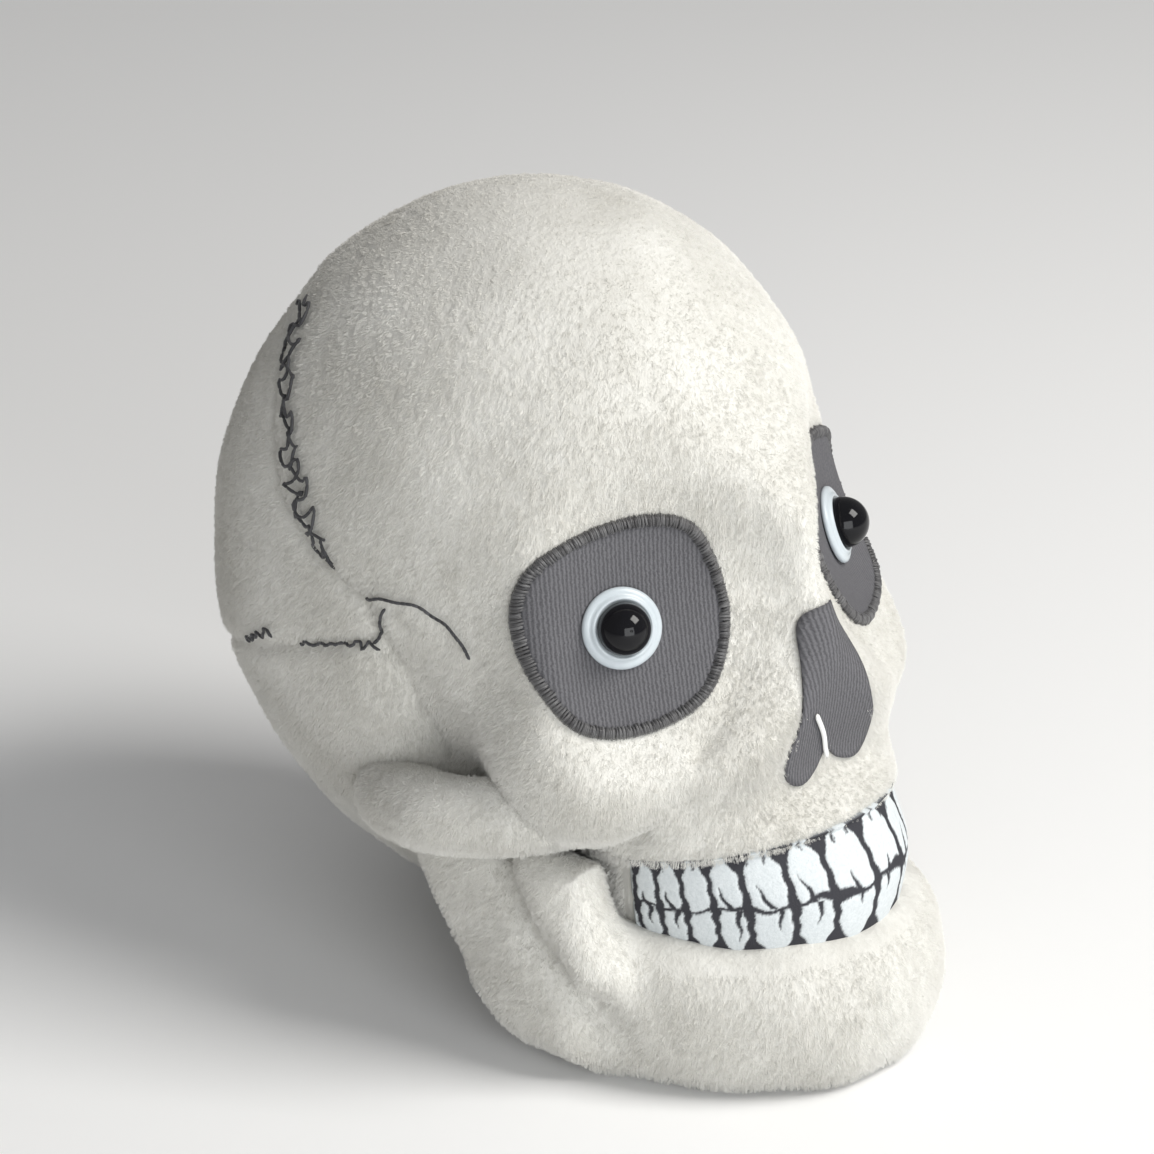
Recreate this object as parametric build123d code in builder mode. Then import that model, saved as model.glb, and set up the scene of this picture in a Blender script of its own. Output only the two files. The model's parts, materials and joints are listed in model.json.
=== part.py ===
from build123d import *
from math import cos, hypot, radians, sin, sqrt
import os

# Stuffed plush skull with a jaw, cheek arches, printed teeth and spinning safety eyes.
# Millimetres. +Z up, the face looks along -Y, +X is the skull's own left side.
# The origin is on the floor, under the middle of the skull's bounding box.

# Overall sizes
skull_length = 172.0
skull_height = 165.5

# Braincase, a tilted egg
braincase_width = 116.0
braincase_long_radius = 74.5
braincase_short_radius = 67.0
braincase_tilt = -28.0

# Face, cheeks and nape, which are egg shaped lumps merged into the braincase
face_half_width = 43.0
face_depth_radius = 40.0
face_height_radius = 43.0
face_tilt = -15.0
face_height = 82.0
face_behind_chin = 59.0
cheek_radii = (13.0, 17.0, 17.0)
cheek_half_spacing = 33.0
cheek_below_face = 20.0
cheek_ahead_of_face = 5.0
nape_radii = (40.0, 42.0, 47.0)
nape_height = 44.0
nape_ahead_of_back = 58.0

# Muzzle: tilted oval rings from the gums up to the nose bridge
# (height, distance of the centre behind the chin, half width, half depth)
muzzle_tilt = 12.0
muzzle_rings = (
    (27.0, 47.0, 20.0, 29.0),
    (32.0, 46.0, 25.0, 35.5),
    (44.0, 45.0, 27.0, 37.5),
    (55.0, 44.0, 28.0, 31.0),
    (72.0, 46.0, 27.0, 26.5),
    (94.0, 48.0, 18.0, 26.0),
)

# Cloth and trim
plush_thickness = 2.2
patch_thickness = 1.0
border_thickness = 1.7
stitch_thickness = 0.7
thread_width = 0.9

# Jaw: a stuffed horseshoe with a broad upright plate at each rear end
jaw_half_spacing = 38.0
jaw_path_depth = 53.0
jaw_tube_half_width = 11.0
jaw_tube_half_height = 18.0
jaw_tube_height = 17.0
jaw_end_bulge = 0.6
jaw_seam_inset = 2.0
ramus_inner_x = 35.5
ramus_thickness = 12.5
ramus_edge_round = 5.0
# Outline of the upright plate from the side: (distance behind the chin, height)
ramus_outline = ((91.0, 46.0), (71.0, 9.0), (62.0, 4.0), (46.0, 4.0), (43.0, 30.0), (45.0, 46.0))
jaw_crease_behind_chin = 44.5
jaw_crease_height = 20.5
jaw_crease_slope = 49.0

# Cheek arches: (x, distance behind the chin, height) of start, middle and rear end
arch_points = ((36.0, 47.0, 57.0), (50.5, 69.0, 55.5), (43.0, 95.0, 48.0))
arch_radius = 7.0

# Teeth: one printed band across both gums
teeth_half_width = 28.2
teeth_half_depth = 38.8
teeth_behind_chin = 45.0
teeth_height = 41.5
teeth_band_width = 21.0
teeth_tilt = 12.0
teeth_thickness = 1.4
teeth_end_behind_chin = 47.0
teeth_tuck = 3.0

# Safety eyes
eye_yaw = 32.0
eye_pitch = 20.0
eye_origin_x = 12.0
eye_origin_behind_chin = 79.0
eye_origin_height = 82.0
eye_sink = 3.4
eye_dome_diameter = 10.5
eye_dome_foot = 0.8
eye_ring_diameter = 16.0
eye_ring_thickness = 1.6
eye_shank_diameter = 4.0
eye_washer_diameter = 12.0
eye_washer_thickness = 2.0
eye_washer_depth = 3.2
eye_shank_tail = 4.0
eye_clearance = 0.3
eye_flat_margin = 1.0

# Grey eye sockets: rounded four-sided patches with a satin stitched border
patch_half_width = 21.0
patch_half_height = 20.0
patch_corner_radius = 12.5
patch_corner_drop = 3.0
patch_roll = 10.0
border_width = 3.0
patch_prism_depth = 22.0

# Nose: an upside down heart
nose_top_height = 97.0
nose_bottom_height = 61.0
nose_notch_height = 66.0
nose_half_width = 13.5
nose_lobe_height = 68.0
nose_stitch_width = 1.2
nose_stitch_length = 14.0
nose_stitch_gap = 1.0

# Seams, seen from the side, as planes across the skull
coronal_seam_behind_back = 33.0
coronal_seam_foot_height = 60.0
coronal_seam_foot_behind_chin = 76.0
coronal_seam_top_height = 152.0
squamous_height = 88.0
squamous_slope = 21.6
squamous_rise_behind_chin = 89.0
base_seam_height = 30.0
muzzle_seam_top = 98.0
muzzle_seam_bottom = 30.0
muzzle_seam_top_half_width = 15.0
muzzle_seam_bottom_half_width = 36.0

# Sutures: stitched zigzag lines
suture_wiggle = 2.6
suture_pitch = 7.0
coronal_suture_low = 92.0
coronal_suture_high = 146.0
squamous_suture_length = 40.0
temple_line_length = 27.0
temple_line_drop = 11.0
temple_line_rise = 3.0
stitch_gap_at_coronal = 8.0
temple_line_gap = 2.0
suture_cutter_start_x = 18.0

# Closing stitch at the back, where the stuffing goes in
closing_stitch_count = 8
closing_stitch_pitch = 4.5
closing_stitch_length = 5.0
closing_stitch_low = 36.0

# Slivers smaller than this, in cubic millimetres, are dropped from a piece
smallest_solid = 0.05

# Places that follow from the sizes above
chin_y = -skull_length / 2
back_y = skull_length / 2
tilt_cos = cos(radians(braincase_tilt))
tilt_sin = sin(radians(braincase_tilt))
braincase_reach_y = hypot(braincase_long_radius * tilt_cos, braincase_short_radius * tilt_sin)
braincase_reach_z = hypot(braincase_long_radius * tilt_sin, braincase_short_radius * tilt_cos)
braincase_centre = (0, back_y - braincase_reach_y, skull_height - braincase_reach_z)
braincase_radii = (braincase_width / 2, braincase_long_radius, braincase_short_radius)
face_centre = (0, chin_y + face_behind_chin, face_height)
face_radii = (face_half_width, face_depth_radius, face_height_radius)
nape_centre = (0, back_y - nape_ahead_of_back, nape_height)
far = 2 * max(skull_length, skull_height)
sides = (("left", 1), ("right", -1))


def cheek_centre(side):
    return (side * cheek_half_spacing, face_centre[1] - cheek_ahead_of_face, face_height - cheek_below_face)


# Centre, radii and forward tilt of each lump of the head
head_lumps = (
    (braincase_centre, braincase_radii, braincase_tilt),
    (face_centre, face_radii, face_tilt),
    (nape_centre, nape_radii, 0),
    (cheek_centre(1), cheek_radii, 0),
    (cheek_centre(-1), cheek_radii, 0),
)


def lump_exit(lump, origin, direction):
    """Distance along a ray from the origin to where it leaves one lump, or 0 where it misses."""
    centre, radii, tilt = lump
    c = cos(radians(-tilt))
    s = sin(radians(-tilt))
    start = [origin[i] - centre[i] for i in range(3)]
    start = (start[0], start[1] * c - start[2] * s, start[1] * s + start[2] * c)
    heading = (direction[0], direction[1] * c - direction[2] * s, direction[1] * s + direction[2] * c)
    start = [start[i] / radii[i] for i in range(3)]
    heading = [heading[i] / radii[i] for i in range(3)]
    a = sum(h * h for h in heading)
    b = sum(p * h for p, h in zip(start, heading))
    spare = b * b - a * (sum(p * p for p in start) - 1)
    return (-b + sqrt(spare)) / a if spare > 0 else 0


def eye_normal(side):
    level = cos(radians(eye_pitch))
    return (side * sin(radians(eye_yaw)) * level, -cos(radians(eye_yaw)) * level, sin(radians(eye_pitch)))


def eye_plane(side, lift=0.0):
    """Plane of the eye's seat on the head, facing outwards, with its x axis level."""
    origin = (side * eye_origin_x, chin_y + eye_origin_behind_chin, eye_origin_height)
    normal = eye_normal(side)
    reach = max(lump_exit(lump, origin, normal) for lump in head_lumps) - eye_sink + lift
    seat = tuple(origin[i] + reach * normal[i] for i in range(3))
    across = (cos(radians(eye_yaw)), side * sin(radians(eye_yaw)), 0)
    return Plane(origin=seat, x_dir=across, z_dir=normal)


def ellipsoid(centre, radii, tilt, grow):
    with BuildPart() as ball:
        Sphere(1)
        scale(by=tuple(radius + grow for radius in radii))
    with BuildPart() as placed:
        with Locations(Location(centre, (tilt, 0, 0))):
            add(ball.part)
    return placed.part


def muzzle(grow):
    last = len(muzzle_rings) - 1
    with BuildPart() as form:
        for index, (height, behind_chin, half_width, half_depth) in enumerate(muzzle_rings):
            end_shift = -grow if index == 0 else grow if index == last else 0
            ring_plane = Plane((0, chin_y + behind_chin, height + end_shift))
            with BuildSketch(ring_plane.rotated((-muzzle_tilt, 0, 0))):
                Ellipse(half_width + grow, half_depth + grow)
        loft()
    return form.part


def head_form(grow):
    """The head's outer shape, grown outwards or shrunk inwards by one distance all over."""
    with BuildPart() as form:
        for centre, radii, tilt in head_lumps:
            add(ellipsoid(centre, radii, tilt, grow))
        add(muzzle(grow))
        for name, side in sides:
            with BuildSketch(eye_plane(side, grow)):
                Circle(eye_ring_diameter / 2 + eye_flat_margin)
            extrude(amount=eye_ring_diameter, mode=Mode.SUBTRACT)
        with Locations((0, 0, -grow)):
            Box(far, far, far, align=(Align.CENTER, Align.CENTER, Align.MAX), mode=Mode.SUBTRACT)
    return form.part


def jaw_form(grow):
    """The horseshoe and its two upright plates, before the head and arches are taken away."""
    path_y = chin_y + jaw_tube_half_width + jaw_path_depth
    section_plane = Plane((-jaw_half_spacing, path_y, jaw_tube_height), x_dir=(1, 0, 0), z_dir=(0, -1, 0))
    with BuildPart() as form:
        with BuildLine(Plane((0, path_y, jaw_tube_height))) as path:
            EllipticalCenterArc((0, 0), jaw_half_spacing, jaw_path_depth, start_angle=180, arc_size=180)
        with BuildSketch(section_plane):
            Ellipse(jaw_tube_half_width + grow, jaw_tube_half_height + grow)
        sweep()
        for name, side in sides:
            end = (side * jaw_half_spacing, path_y - jaw_end_bulge, jaw_tube_height)
            end_radii = (jaw_tube_half_width, jaw_tube_half_width, jaw_tube_half_height)
            add(ellipsoid(end, end_radii, 0, grow + jaw_end_bulge))
            add(ramus(side, grow))
        with Locations((0, 0, -grow)):
            Box(far, far, far, align=(Align.CENTER, Align.CENTER, Align.MAX), mode=Mode.SUBTRACT)
    return form.part


def ramus(side, grow):
    middle_x = side * (ramus_inner_x + ramus_thickness / 2)
    with BuildPart() as plate:
        with BuildSketch(Plane((middle_x, chin_y, 0), x_dir=(0, 1, 0), z_dir=(1, 0, 0))) as outline:
            with BuildLine():
                Polyline(*ramus_outline, close=True)
            make_face()
            fillet(outline.vertices(), ramus_edge_round)
            if grow != 0:
                offset(amount=grow)
        extrude(amount=ramus_thickness / 2 + grow, both=True)
        rims = plate.faces().filter_by(Axis.X).edges()
        fillet(rims, ramus_edge_round + min(grow, 0))
    return plate.part


def arch_form(side, grow):
    points = [(side * x, chin_y + behind, height) for x, behind, height in arch_points]
    with BuildPart() as form:
        with BuildLine() as path:
            ThreePointArc(*points)
        with BuildSketch(Plane(origin=path.line @ 0, z_dir=path.line % 0)):
            Circle(arch_radius + grow)
        sweep()
        for point in (points[0], points[-1]):
            with Locations(point):
                Sphere(arch_radius + grow)
    return form.part


def keep_side(shape, plane, keep):
    with BuildPart() as half:
        add(shape)
        split(bisect_by=plane, keep=keep)
    return half.part


def save(shape, name):
    """Label one finished piece and write it, keeping only its solids."""
    pieces = [solid for solid in shape.solids() if solid.volume > smallest_solid]
    whole = pieces[0] if len(pieces) == 1 else Compound(children=pieces)
    whole.label = name
    export_step(whole, os.path.join("parts", name + ".step"))
    print(name, len(pieces), round(sum(piece.volume for piece in pieces), 1))


os.makedirs("parts", exist_ok=True)

# Forms shared by the pieces
head_outer = head_form(0)
head_inner = head_form(-plush_thickness)
jaw_outer = jaw_form(0)
jaw_inner = jaw_form(-plush_thickness)
arch_outer = {name: arch_form(side, 0) for name, side in sides}
arch_inner = {name: arch_form(side, -plush_thickness) for name, side in sides}

# Seam planes
coronal_rise_y = (back_y - coronal_seam_behind_back) - (chin_y + coronal_seam_foot_behind_chin)
coronal_rise_z = coronal_seam_top_height - coronal_seam_foot_height
coronal_plane = Plane(
    origin=(0, chin_y + coronal_seam_foot_behind_chin, coronal_seam_foot_height),
    x_dir=(1, 0, 0),
    z_dir=(0, -coronal_rise_z, coronal_rise_y),
)
squamous_plane = Plane(
    origin=(0, chin_y + squamous_rise_behind_chin, squamous_height),
    x_dir=(1, 0, 0),
    z_dir=(0, sin(radians(squamous_slope)), cos(radians(squamous_slope))),
)
base_plane = Plane((0, 0, base_seam_height))
jaw_crease_plane = Plane(
    origin=(0, chin_y + jaw_crease_behind_chin, jaw_crease_height),
    x_dir=(1, 0, 0),
    z_dir=(0, sin(radians(jaw_crease_slope)), -cos(radians(jaw_crease_slope))),
)

# Head cover, cut along its seams
with BuildPart() as head_cover:
    add(head_outer)
    add(head_inner, mode=Mode.SUBTRACT)
    for name, side in sides:
        with BuildSketch(eye_plane(side, -2 * plush_thickness)):
            Circle(eye_shank_diameter / 2 + eye_clearance)
        extrude(amount=3 * plush_thickness, mode=Mode.SUBTRACT)

base_panel = keep_side(head_cover.part, base_plane, Keep.BOTTOM)
upper_cover = keep_side(head_cover.part, base_plane, Keep.TOP)
front_cover = keep_side(upper_cover, coronal_plane, Keep.TOP)
rear_cover = keep_side(upper_cover, coronal_plane, Keep.BOTTOM)

with BuildPart() as muzzle_cutter:
    with BuildSketch(Plane.XZ):
        with BuildLine():
            Polyline(
                (-muzzle_seam_bottom_half_width, muzzle_seam_bottom - 1),
                (muzzle_seam_bottom_half_width, muzzle_seam_bottom - 1),
                (muzzle_seam_top_half_width, muzzle_seam_top),
                (-muzzle_seam_top_half_width, muzzle_seam_top),
                close=True,
            )
        make_face()
    extrude(amount=far)

with BuildPart() as muzzle_panel:
    add(front_cover)
    add(muzzle_cutter.part, mode=Mode.INTERSECT)

with BuildPart() as face_panel:
    add(front_cover)
    add(muzzle_cutter.part, mode=Mode.SUBTRACT)

save(base_panel, "base_panel")
save(muzzle_panel.part, "muzzle_panel")
save(face_panel.part, "face_panel")
crown = keep_side(rear_cover, squamous_plane, Keep.TOP)
temples = keep_side(rear_cover, squamous_plane, Keep.BOTTOM)
for name, side in sides:
    keep = Keep.TOP if side > 0 else Keep.BOTTOM
    save(keep_side(crown, Plane.YZ, keep), "crown_panel_" + name)
    save(keep_side(temples, Plane.YZ, keep), "temple_panel_" + name)

# Head stuffing, with a pocket for each eye's shank and washer
with BuildPart() as head_stuffing:
    add(head_inner)
    for name, side in sides:
        with BuildSketch(eye_plane(side, 0)):
            Circle(eye_washer_diameter / 2 + eye_clearance)
        pocket_depth = eye_washer_depth + eye_washer_thickness + eye_clearance
        extrude(amount=-pocket_depth, mode=Mode.SUBTRACT)
        with BuildSketch(eye_plane(side, 0)):
            Circle(eye_shank_diameter / 2 + eye_clearance)
        extrude(amount=-(pocket_depth + eye_shank_tail), mode=Mode.SUBTRACT)
save(head_stuffing.part, "head_stuffing")

# Cheek arches: a sewn tube over stuffing on each side
for name, side in sides:
    with BuildPart() as arch_cover:
        add(arch_outer[name])
        add(arch_inner[name], mode=Mode.SUBTRACT)
        add(head_outer, mode=Mode.SUBTRACT)
    save(arch_cover.part, "arch_cover_" + name)
    with BuildPart() as arch_stuffing:
        add(arch_inner[name])
        add(head_outer, mode=Mode.SUBTRACT)
    save(arch_stuffing.part, "arch_stuffing_" + name)

# Jaw: cover outside, lining inside, a cover over each upright plate, and the stuffing
with BuildPart() as head_and_arches:
    add(head_outer)
    for name, side in sides:
        add(arch_outer[name])

with BuildPart() as jaw_shell:
    add(jaw_outer)
    add(jaw_inner, mode=Mode.SUBTRACT)
    add(head_and_arches.part, mode=Mode.SUBTRACT)

with BuildPart() as jaw_stuffing:
    add(jaw_inner)
    add(head_and_arches.part, mode=Mode.SUBTRACT)
save(jaw_stuffing.part, "jaw_stuffing")

ramus_covers = keep_side(jaw_shell.part, jaw_crease_plane, Keep.TOP)
jaw_front = keep_side(jaw_shell.part, jaw_crease_plane, Keep.BOTTOM)
for name, side in sides:
    keep = Keep.TOP if side > 0 else Keep.BOTTOM
    save(keep_side(ramus_covers, Plane.YZ, keep), "ramus_cover_" + name)

with BuildPart() as inside_jaw:
    with BuildSketch(Plane((0, chin_y + jaw_tube_half_width + jaw_path_depth, -1))):
        Ellipse(jaw_half_spacing - jaw_seam_inset, jaw_path_depth - jaw_seam_inset)
    extrude(amount=far)

with BuildPart() as jaw_lining:
    add(jaw_front)
    add(inside_jaw.part, mode=Mode.INTERSECT)
save(jaw_lining.part, "jaw_lining")

with BuildPart() as jaw_cover:
    add(jaw_front)
    add(inside_jaw.part, mode=Mode.SUBTRACT)
save(jaw_cover.part, "jaw_cover")

# Teeth: one band wrapped over both gums
with BuildPart() as teeth_band:
    band_centre = (0, chin_y + teeth_behind_chin, teeth_height)
    with BuildSketch(Plane(band_centre).rotated((-teeth_tilt, 0, 0))):
        Ellipse(teeth_half_width + teeth_thickness, teeth_half_depth + teeth_thickness)
        Ellipse(teeth_half_width - teeth_tuck, teeth_half_depth - teeth_tuck, mode=Mode.SUBTRACT)
    extrude(amount=teeth_band_width / 2, both=True)
    add(head_outer, mode=Mode.SUBTRACT)
    add(jaw_outer, mode=Mode.SUBTRACT)
    split(bisect_by=Plane((0, chin_y + teeth_end_behind_chin, 0), z_dir=(0, -1, 0)), keep=Keep.TOP)
save(teeth_band.part, "teeth_band")


def cloth_layer(thickness, start=0.0):
    """A layer that lies on the head cover all over."""
    with BuildPart() as layer:
        add(head_form(start + thickness))
        add(head_outer if start == 0 else head_form(start), mode=Mode.SUBTRACT)
    return layer.part


patch_layer = cloth_layer(patch_thickness)
border_layer = cloth_layer(border_thickness)
stitch_layer = cloth_layer(stitch_thickness)


def socket_prism(side, inset):
    """A block with the eye socket's rounded outline, pushed through the patch of cover under it."""
    half_width = patch_half_width - inset
    half_height = patch_half_height - inset
    plane = eye_plane(side, -patch_prism_depth).rotated((0, 0, -side * patch_roll))
    with BuildPart() as prism:
        with BuildSketch(plane) as outline:
            with BuildLine():
                Polyline(
                    (side * half_width, half_height - patch_corner_drop),
                    (-side * half_width, half_height),
                    (-side * (half_width - patch_corner_drop), -half_height),
                    (side * half_width, -half_height + patch_corner_drop),
                    close=True,
                )
            make_face()
            fillet(outline.vertices(), patch_corner_radius - inset)
        extrude(amount=2 * patch_prism_depth)
    return prism.part


# Eye sockets, borders and eyes
for name, side in sides:
    with BuildPart() as eye_patch:
        add(patch_layer)
        add(socket_prism(side, border_width), mode=Mode.INTERSECT)
        with BuildSketch(eye_plane(side, -1)):
            Circle(eye_shank_diameter / 2 + eye_clearance)
        extrude(amount=patch_thickness + 2, mode=Mode.SUBTRACT)
    save(eye_patch.part, "eye_patch_" + name)

    with BuildPart() as eye_patch_border:
        add(border_layer)
        add(socket_prism(side, 0), mode=Mode.INTERSECT)
        add(socket_prism(side, border_width), mode=Mode.SUBTRACT)
    save(eye_patch_border.part, "eye_patch_border_" + name)

    seat = patch_thickness + eye_clearance
    ring_radius = eye_ring_diameter / 2
    with BuildPart() as eye_ring:
        with BuildSketch(eye_plane(side, seat)):
            Circle(ring_radius)
            Circle(eye_shank_diameter / 2, mode=Mode.SUBTRACT)
        extrude(amount=eye_ring_thickness)
        outer_rims = eye_ring.edges().filter_by(GeomType.CIRCLE).sort_by(SortBy.RADIUS)[-2:]
        fillet(outer_rims, eye_ring_thickness / 3)
    save(eye_ring.part, "eye_ring_" + name)

    dome_radius = eye_dome_diameter / 2
    shank_length = seat + eye_ring_thickness + eye_washer_depth + eye_washer_thickness + eye_shank_tail
    with BuildPart() as eye:
        with BuildSketch(eye_plane(side, seat + eye_ring_thickness)):
            Circle(dome_radius)
        extrude(amount=eye_dome_foot)
        with Locations(eye_plane(side, seat + eye_ring_thickness + eye_dome_foot).location):
            Sphere(dome_radius, arc_size1=0, align=(Align.CENTER, Align.CENTER, Align.MIN))
        with BuildSketch(eye_plane(side, seat + eye_ring_thickness)):
            Circle(eye_shank_diameter / 2)
        extrude(amount=-shank_length + eye_clearance)
    save(eye.part, "eye_" + name)

    with BuildPart() as eye_washer:
        with BuildSketch(eye_plane(side, -eye_washer_depth)):
            Circle(eye_washer_diameter / 2)
            Circle(eye_shank_diameter / 2, mode=Mode.SUBTRACT)
        extrude(amount=-eye_washer_thickness)
    save(eye_washer.part, "eye_washer_" + name)

# Nose
with BuildPart() as nose_cutter:
    with BuildSketch(Plane.XZ) as outline:
        with BuildLine():
            lobe = nose_half_width / 2
            for side in (1, -1):
                Spline(
                    (0, nose_top_height),
                    (side * nose_half_width * 0.62, (nose_top_height + nose_lobe_height) / 2 + 3),
                    (side * nose_half_width, nose_lobe_height),
                    (side * lobe * 1.25, nose_bottom_height),
                    (0, nose_notch_height),
                )
        make_face()
    extrude(amount=far)

with BuildPart() as nose_patch:
    add(patch_layer)
    add(nose_cutter.part, mode=Mode.INTERSECT)
save(nose_patch.part, "nose_patch")

with BuildPart() as septum_cutter:
    with BuildSketch(Plane((0, 0, nose_notch_height), x_dir=(1, 0, 0), z_dir=(0, -1, 0))):
        with Locations((0, nose_stitch_gap)):
            Rectangle(nose_stitch_width, nose_stitch_length, align=(Align.CENTER, Align.MIN))
    extrude(amount=far)

with BuildPart() as nose_stitch:
    add(cloth_layer(stitch_thickness, patch_thickness))
    add(septum_cutter.part, mode=Mode.INTERSECT)
save(nose_stitch.part, "nose_stitch")


def side_suture(points, side):
    """A stitched line on one side of the head, given by its points seen from the side."""
    with BuildPart() as cutter:
        with BuildSketch(Plane((side * suture_cutter_start_x, 0, 0), x_dir=(0, 1, 0), z_dir=(1, 0, 0))):
            with BuildLine() as path:
                Polyline(*points)
            trace(line_width=thread_width)
        extrude(amount=side * far)
    with BuildPart() as stitch:
        add(stitch_layer)
        add(cutter.part, mode=Mode.INTERSECT)
    return stitch.part


def zigzag(start, end, wiggle):
    """Points of a zigzag between two points seen from the side."""
    length = hypot(end[0] - start[0], end[1] - start[1])
    along = ((end[0] - start[0]) / length, (end[1] - start[1]) / length)
    count = max(2, round(2 * length / suture_pitch))
    points = []
    for index in range(count + 1):
        step = length * index / count
        swing = wiggle * (1 if index % 2 else -1)
        y = start[0] + along[0] * step - along[1] * swing
        z = start[1] + along[1] * step + along[0] * swing
        points.append((y, z))
    return points


# Sutures
coronal_ends = []
for height in (coronal_suture_low, coronal_suture_high):
    share = (height - coronal_seam_foot_height) / coronal_rise_z
    coronal_ends.append((chin_y + coronal_seam_foot_behind_chin + share * coronal_rise_y, height))
squamous_start = (
    chin_y + squamous_rise_behind_chin + stitch_gap_at_coronal,
    squamous_height - stitch_gap_at_coronal * sin(radians(squamous_slope)),
)
squamous_end = (
    squamous_start[0] + squamous_suture_length * cos(radians(squamous_slope)),
    squamous_start[1] - squamous_suture_length * sin(radians(squamous_slope)),
)
temple_start = (chin_y + squamous_rise_behind_chin - temple_line_gap, squamous_height + temple_line_gap)
temple_end = (temple_start[0] - temple_line_length, temple_start[1] - temple_line_drop)
temple_peak = (
    (temple_start[0] + temple_end[0]) / 2,
    (temple_start[1] + temple_end[1]) / 2 + temple_line_rise,
)
coronal_points = zigzag(*coronal_ends, suture_wiggle)
squamous_points = zigzag(squamous_start, squamous_end, suture_wiggle / 2)
temple_points = [temple_start, temple_peak, temple_end]
for name, side in sides:
    save(side_suture(coronal_points, side), "coronal_suture_" + name)
    save(side_suture(squamous_points, side), "squamous_suture_" + name)
    save(side_suture(temple_points, side), "temple_stitch_" + name)

# Closing stitch, short threads across the seam at the back
with BuildPart() as closing_cutter:
    for index in range(closing_stitch_count):
        with Locations((0, 0, closing_stitch_low + index * closing_stitch_pitch)):
            Box(closing_stitch_length, far, thread_width, align=(Align.CENTER, Align.MIN, Align.CENTER))

with BuildPart() as closing_stitch:
    add(stitch_layer)
    add(closing_cutter.part, mode=Mode.INTERSECT)
save(closing_stitch.part, "closing_stitch")
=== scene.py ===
import bpy
import bmesh
import json
import numpy as np
from math import cos, pi, radians, sin
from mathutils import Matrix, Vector

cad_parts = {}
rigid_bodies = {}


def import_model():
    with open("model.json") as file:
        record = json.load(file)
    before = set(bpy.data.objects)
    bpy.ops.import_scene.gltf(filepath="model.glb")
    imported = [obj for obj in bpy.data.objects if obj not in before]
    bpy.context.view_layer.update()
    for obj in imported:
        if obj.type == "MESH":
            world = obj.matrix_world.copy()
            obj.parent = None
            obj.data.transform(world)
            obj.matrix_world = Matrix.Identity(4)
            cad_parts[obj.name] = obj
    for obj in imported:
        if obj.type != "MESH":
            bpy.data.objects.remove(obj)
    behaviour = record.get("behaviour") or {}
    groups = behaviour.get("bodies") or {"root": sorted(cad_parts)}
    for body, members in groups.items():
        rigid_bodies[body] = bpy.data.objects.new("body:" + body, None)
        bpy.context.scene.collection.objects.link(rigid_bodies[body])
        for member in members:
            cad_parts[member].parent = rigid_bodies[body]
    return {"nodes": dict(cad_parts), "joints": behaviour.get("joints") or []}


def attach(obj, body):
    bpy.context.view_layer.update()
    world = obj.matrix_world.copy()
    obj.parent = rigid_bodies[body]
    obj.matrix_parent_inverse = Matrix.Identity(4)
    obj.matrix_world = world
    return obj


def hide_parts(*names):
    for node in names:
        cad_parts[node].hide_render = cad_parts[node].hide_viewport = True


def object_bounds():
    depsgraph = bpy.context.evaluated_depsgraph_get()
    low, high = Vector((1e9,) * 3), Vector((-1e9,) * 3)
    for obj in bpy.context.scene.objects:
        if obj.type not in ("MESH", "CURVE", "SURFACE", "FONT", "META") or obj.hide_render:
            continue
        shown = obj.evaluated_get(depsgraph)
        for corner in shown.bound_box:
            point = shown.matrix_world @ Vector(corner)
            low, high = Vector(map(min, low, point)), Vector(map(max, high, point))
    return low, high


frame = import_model()
cadLow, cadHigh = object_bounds()
mm = 0.001
sides = (("left", 1), ("right", -1))

# Shapes are worked out in millimetres and become metres when a mesh is made.
chinY = cadLow.y / mm
backY = cadHigh.y / mm
crownZ = cadHigh.z / mm
draws = np.random.default_rng(7)


def eyeAxes(name):
    # seat, outward normal, direction towards the nose, and up, of one eye
    joint = [j for j in frame["joints"] if j["child"] == "eye_" + name][0]
    normal = np.array(joint["axis"])
    across = np.array((-normal[1], normal[0], 0.0))
    across /= np.linalg.norm(across)
    up = np.cross(normal, across)
    towardsNose = across * (1 if across[1] < 0 else -1)
    return np.array(joint["pos_m"]) / mm, normal, towardsNose, up


# p is always an array of places in millimetres
def smoothUnion(a, b, k):
    h = np.maximum(k - np.abs(a - b), 0) / k
    return np.minimum(a, b) - h * h * k / 4


def smoothCut(a, b, k):
    return -smoothUnion(-a, b, k)


def bump(distance, width):
    return np.exp(-(distance / width) ** 2)


def ramp(value, low, high):
    t = np.clip((value - low) / (high - low), 0, 1)
    return t * t * (3 - 2 * t)


def eggField(p, centre, radii, tilt=0):
    q = p - np.array(centre)
    if tilt:
        c, s = cos(radians(tilt)), sin(radians(tilt))
        q = np.stack([q[:, 0], q[:, 1] * c + q[:, 2] * s, -q[:, 1] * s + q[:, 2] * c], -1)
    radii = np.array(radii, float)
    near = np.linalg.norm(q / radii, axis=1)
    slope = np.linalg.norm(q / radii ** 2, axis=1)
    return near * (near - 1) / np.maximum(slope, 1e-6)


def unit(vectors):
    return vectors / np.maximum(np.linalg.norm(vectors, axis=-1, keepdims=True), 1e-9)


def lineDistance(p, points):
    # distance from every p to a chain of straight pieces
    best = np.full(len(p), 1e9)
    for a, b in zip(points[:-1], points[1:]):
        a, b = np.array(a, float), np.array(b, float)
        along = np.clip((p - a) @ (b - a) / ((b - a) @ (b - a)), 0, 1)
        best = np.minimum(best, np.linalg.norm(p - a - along[:, None] * (b - a), axis=1))
    return best


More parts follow.
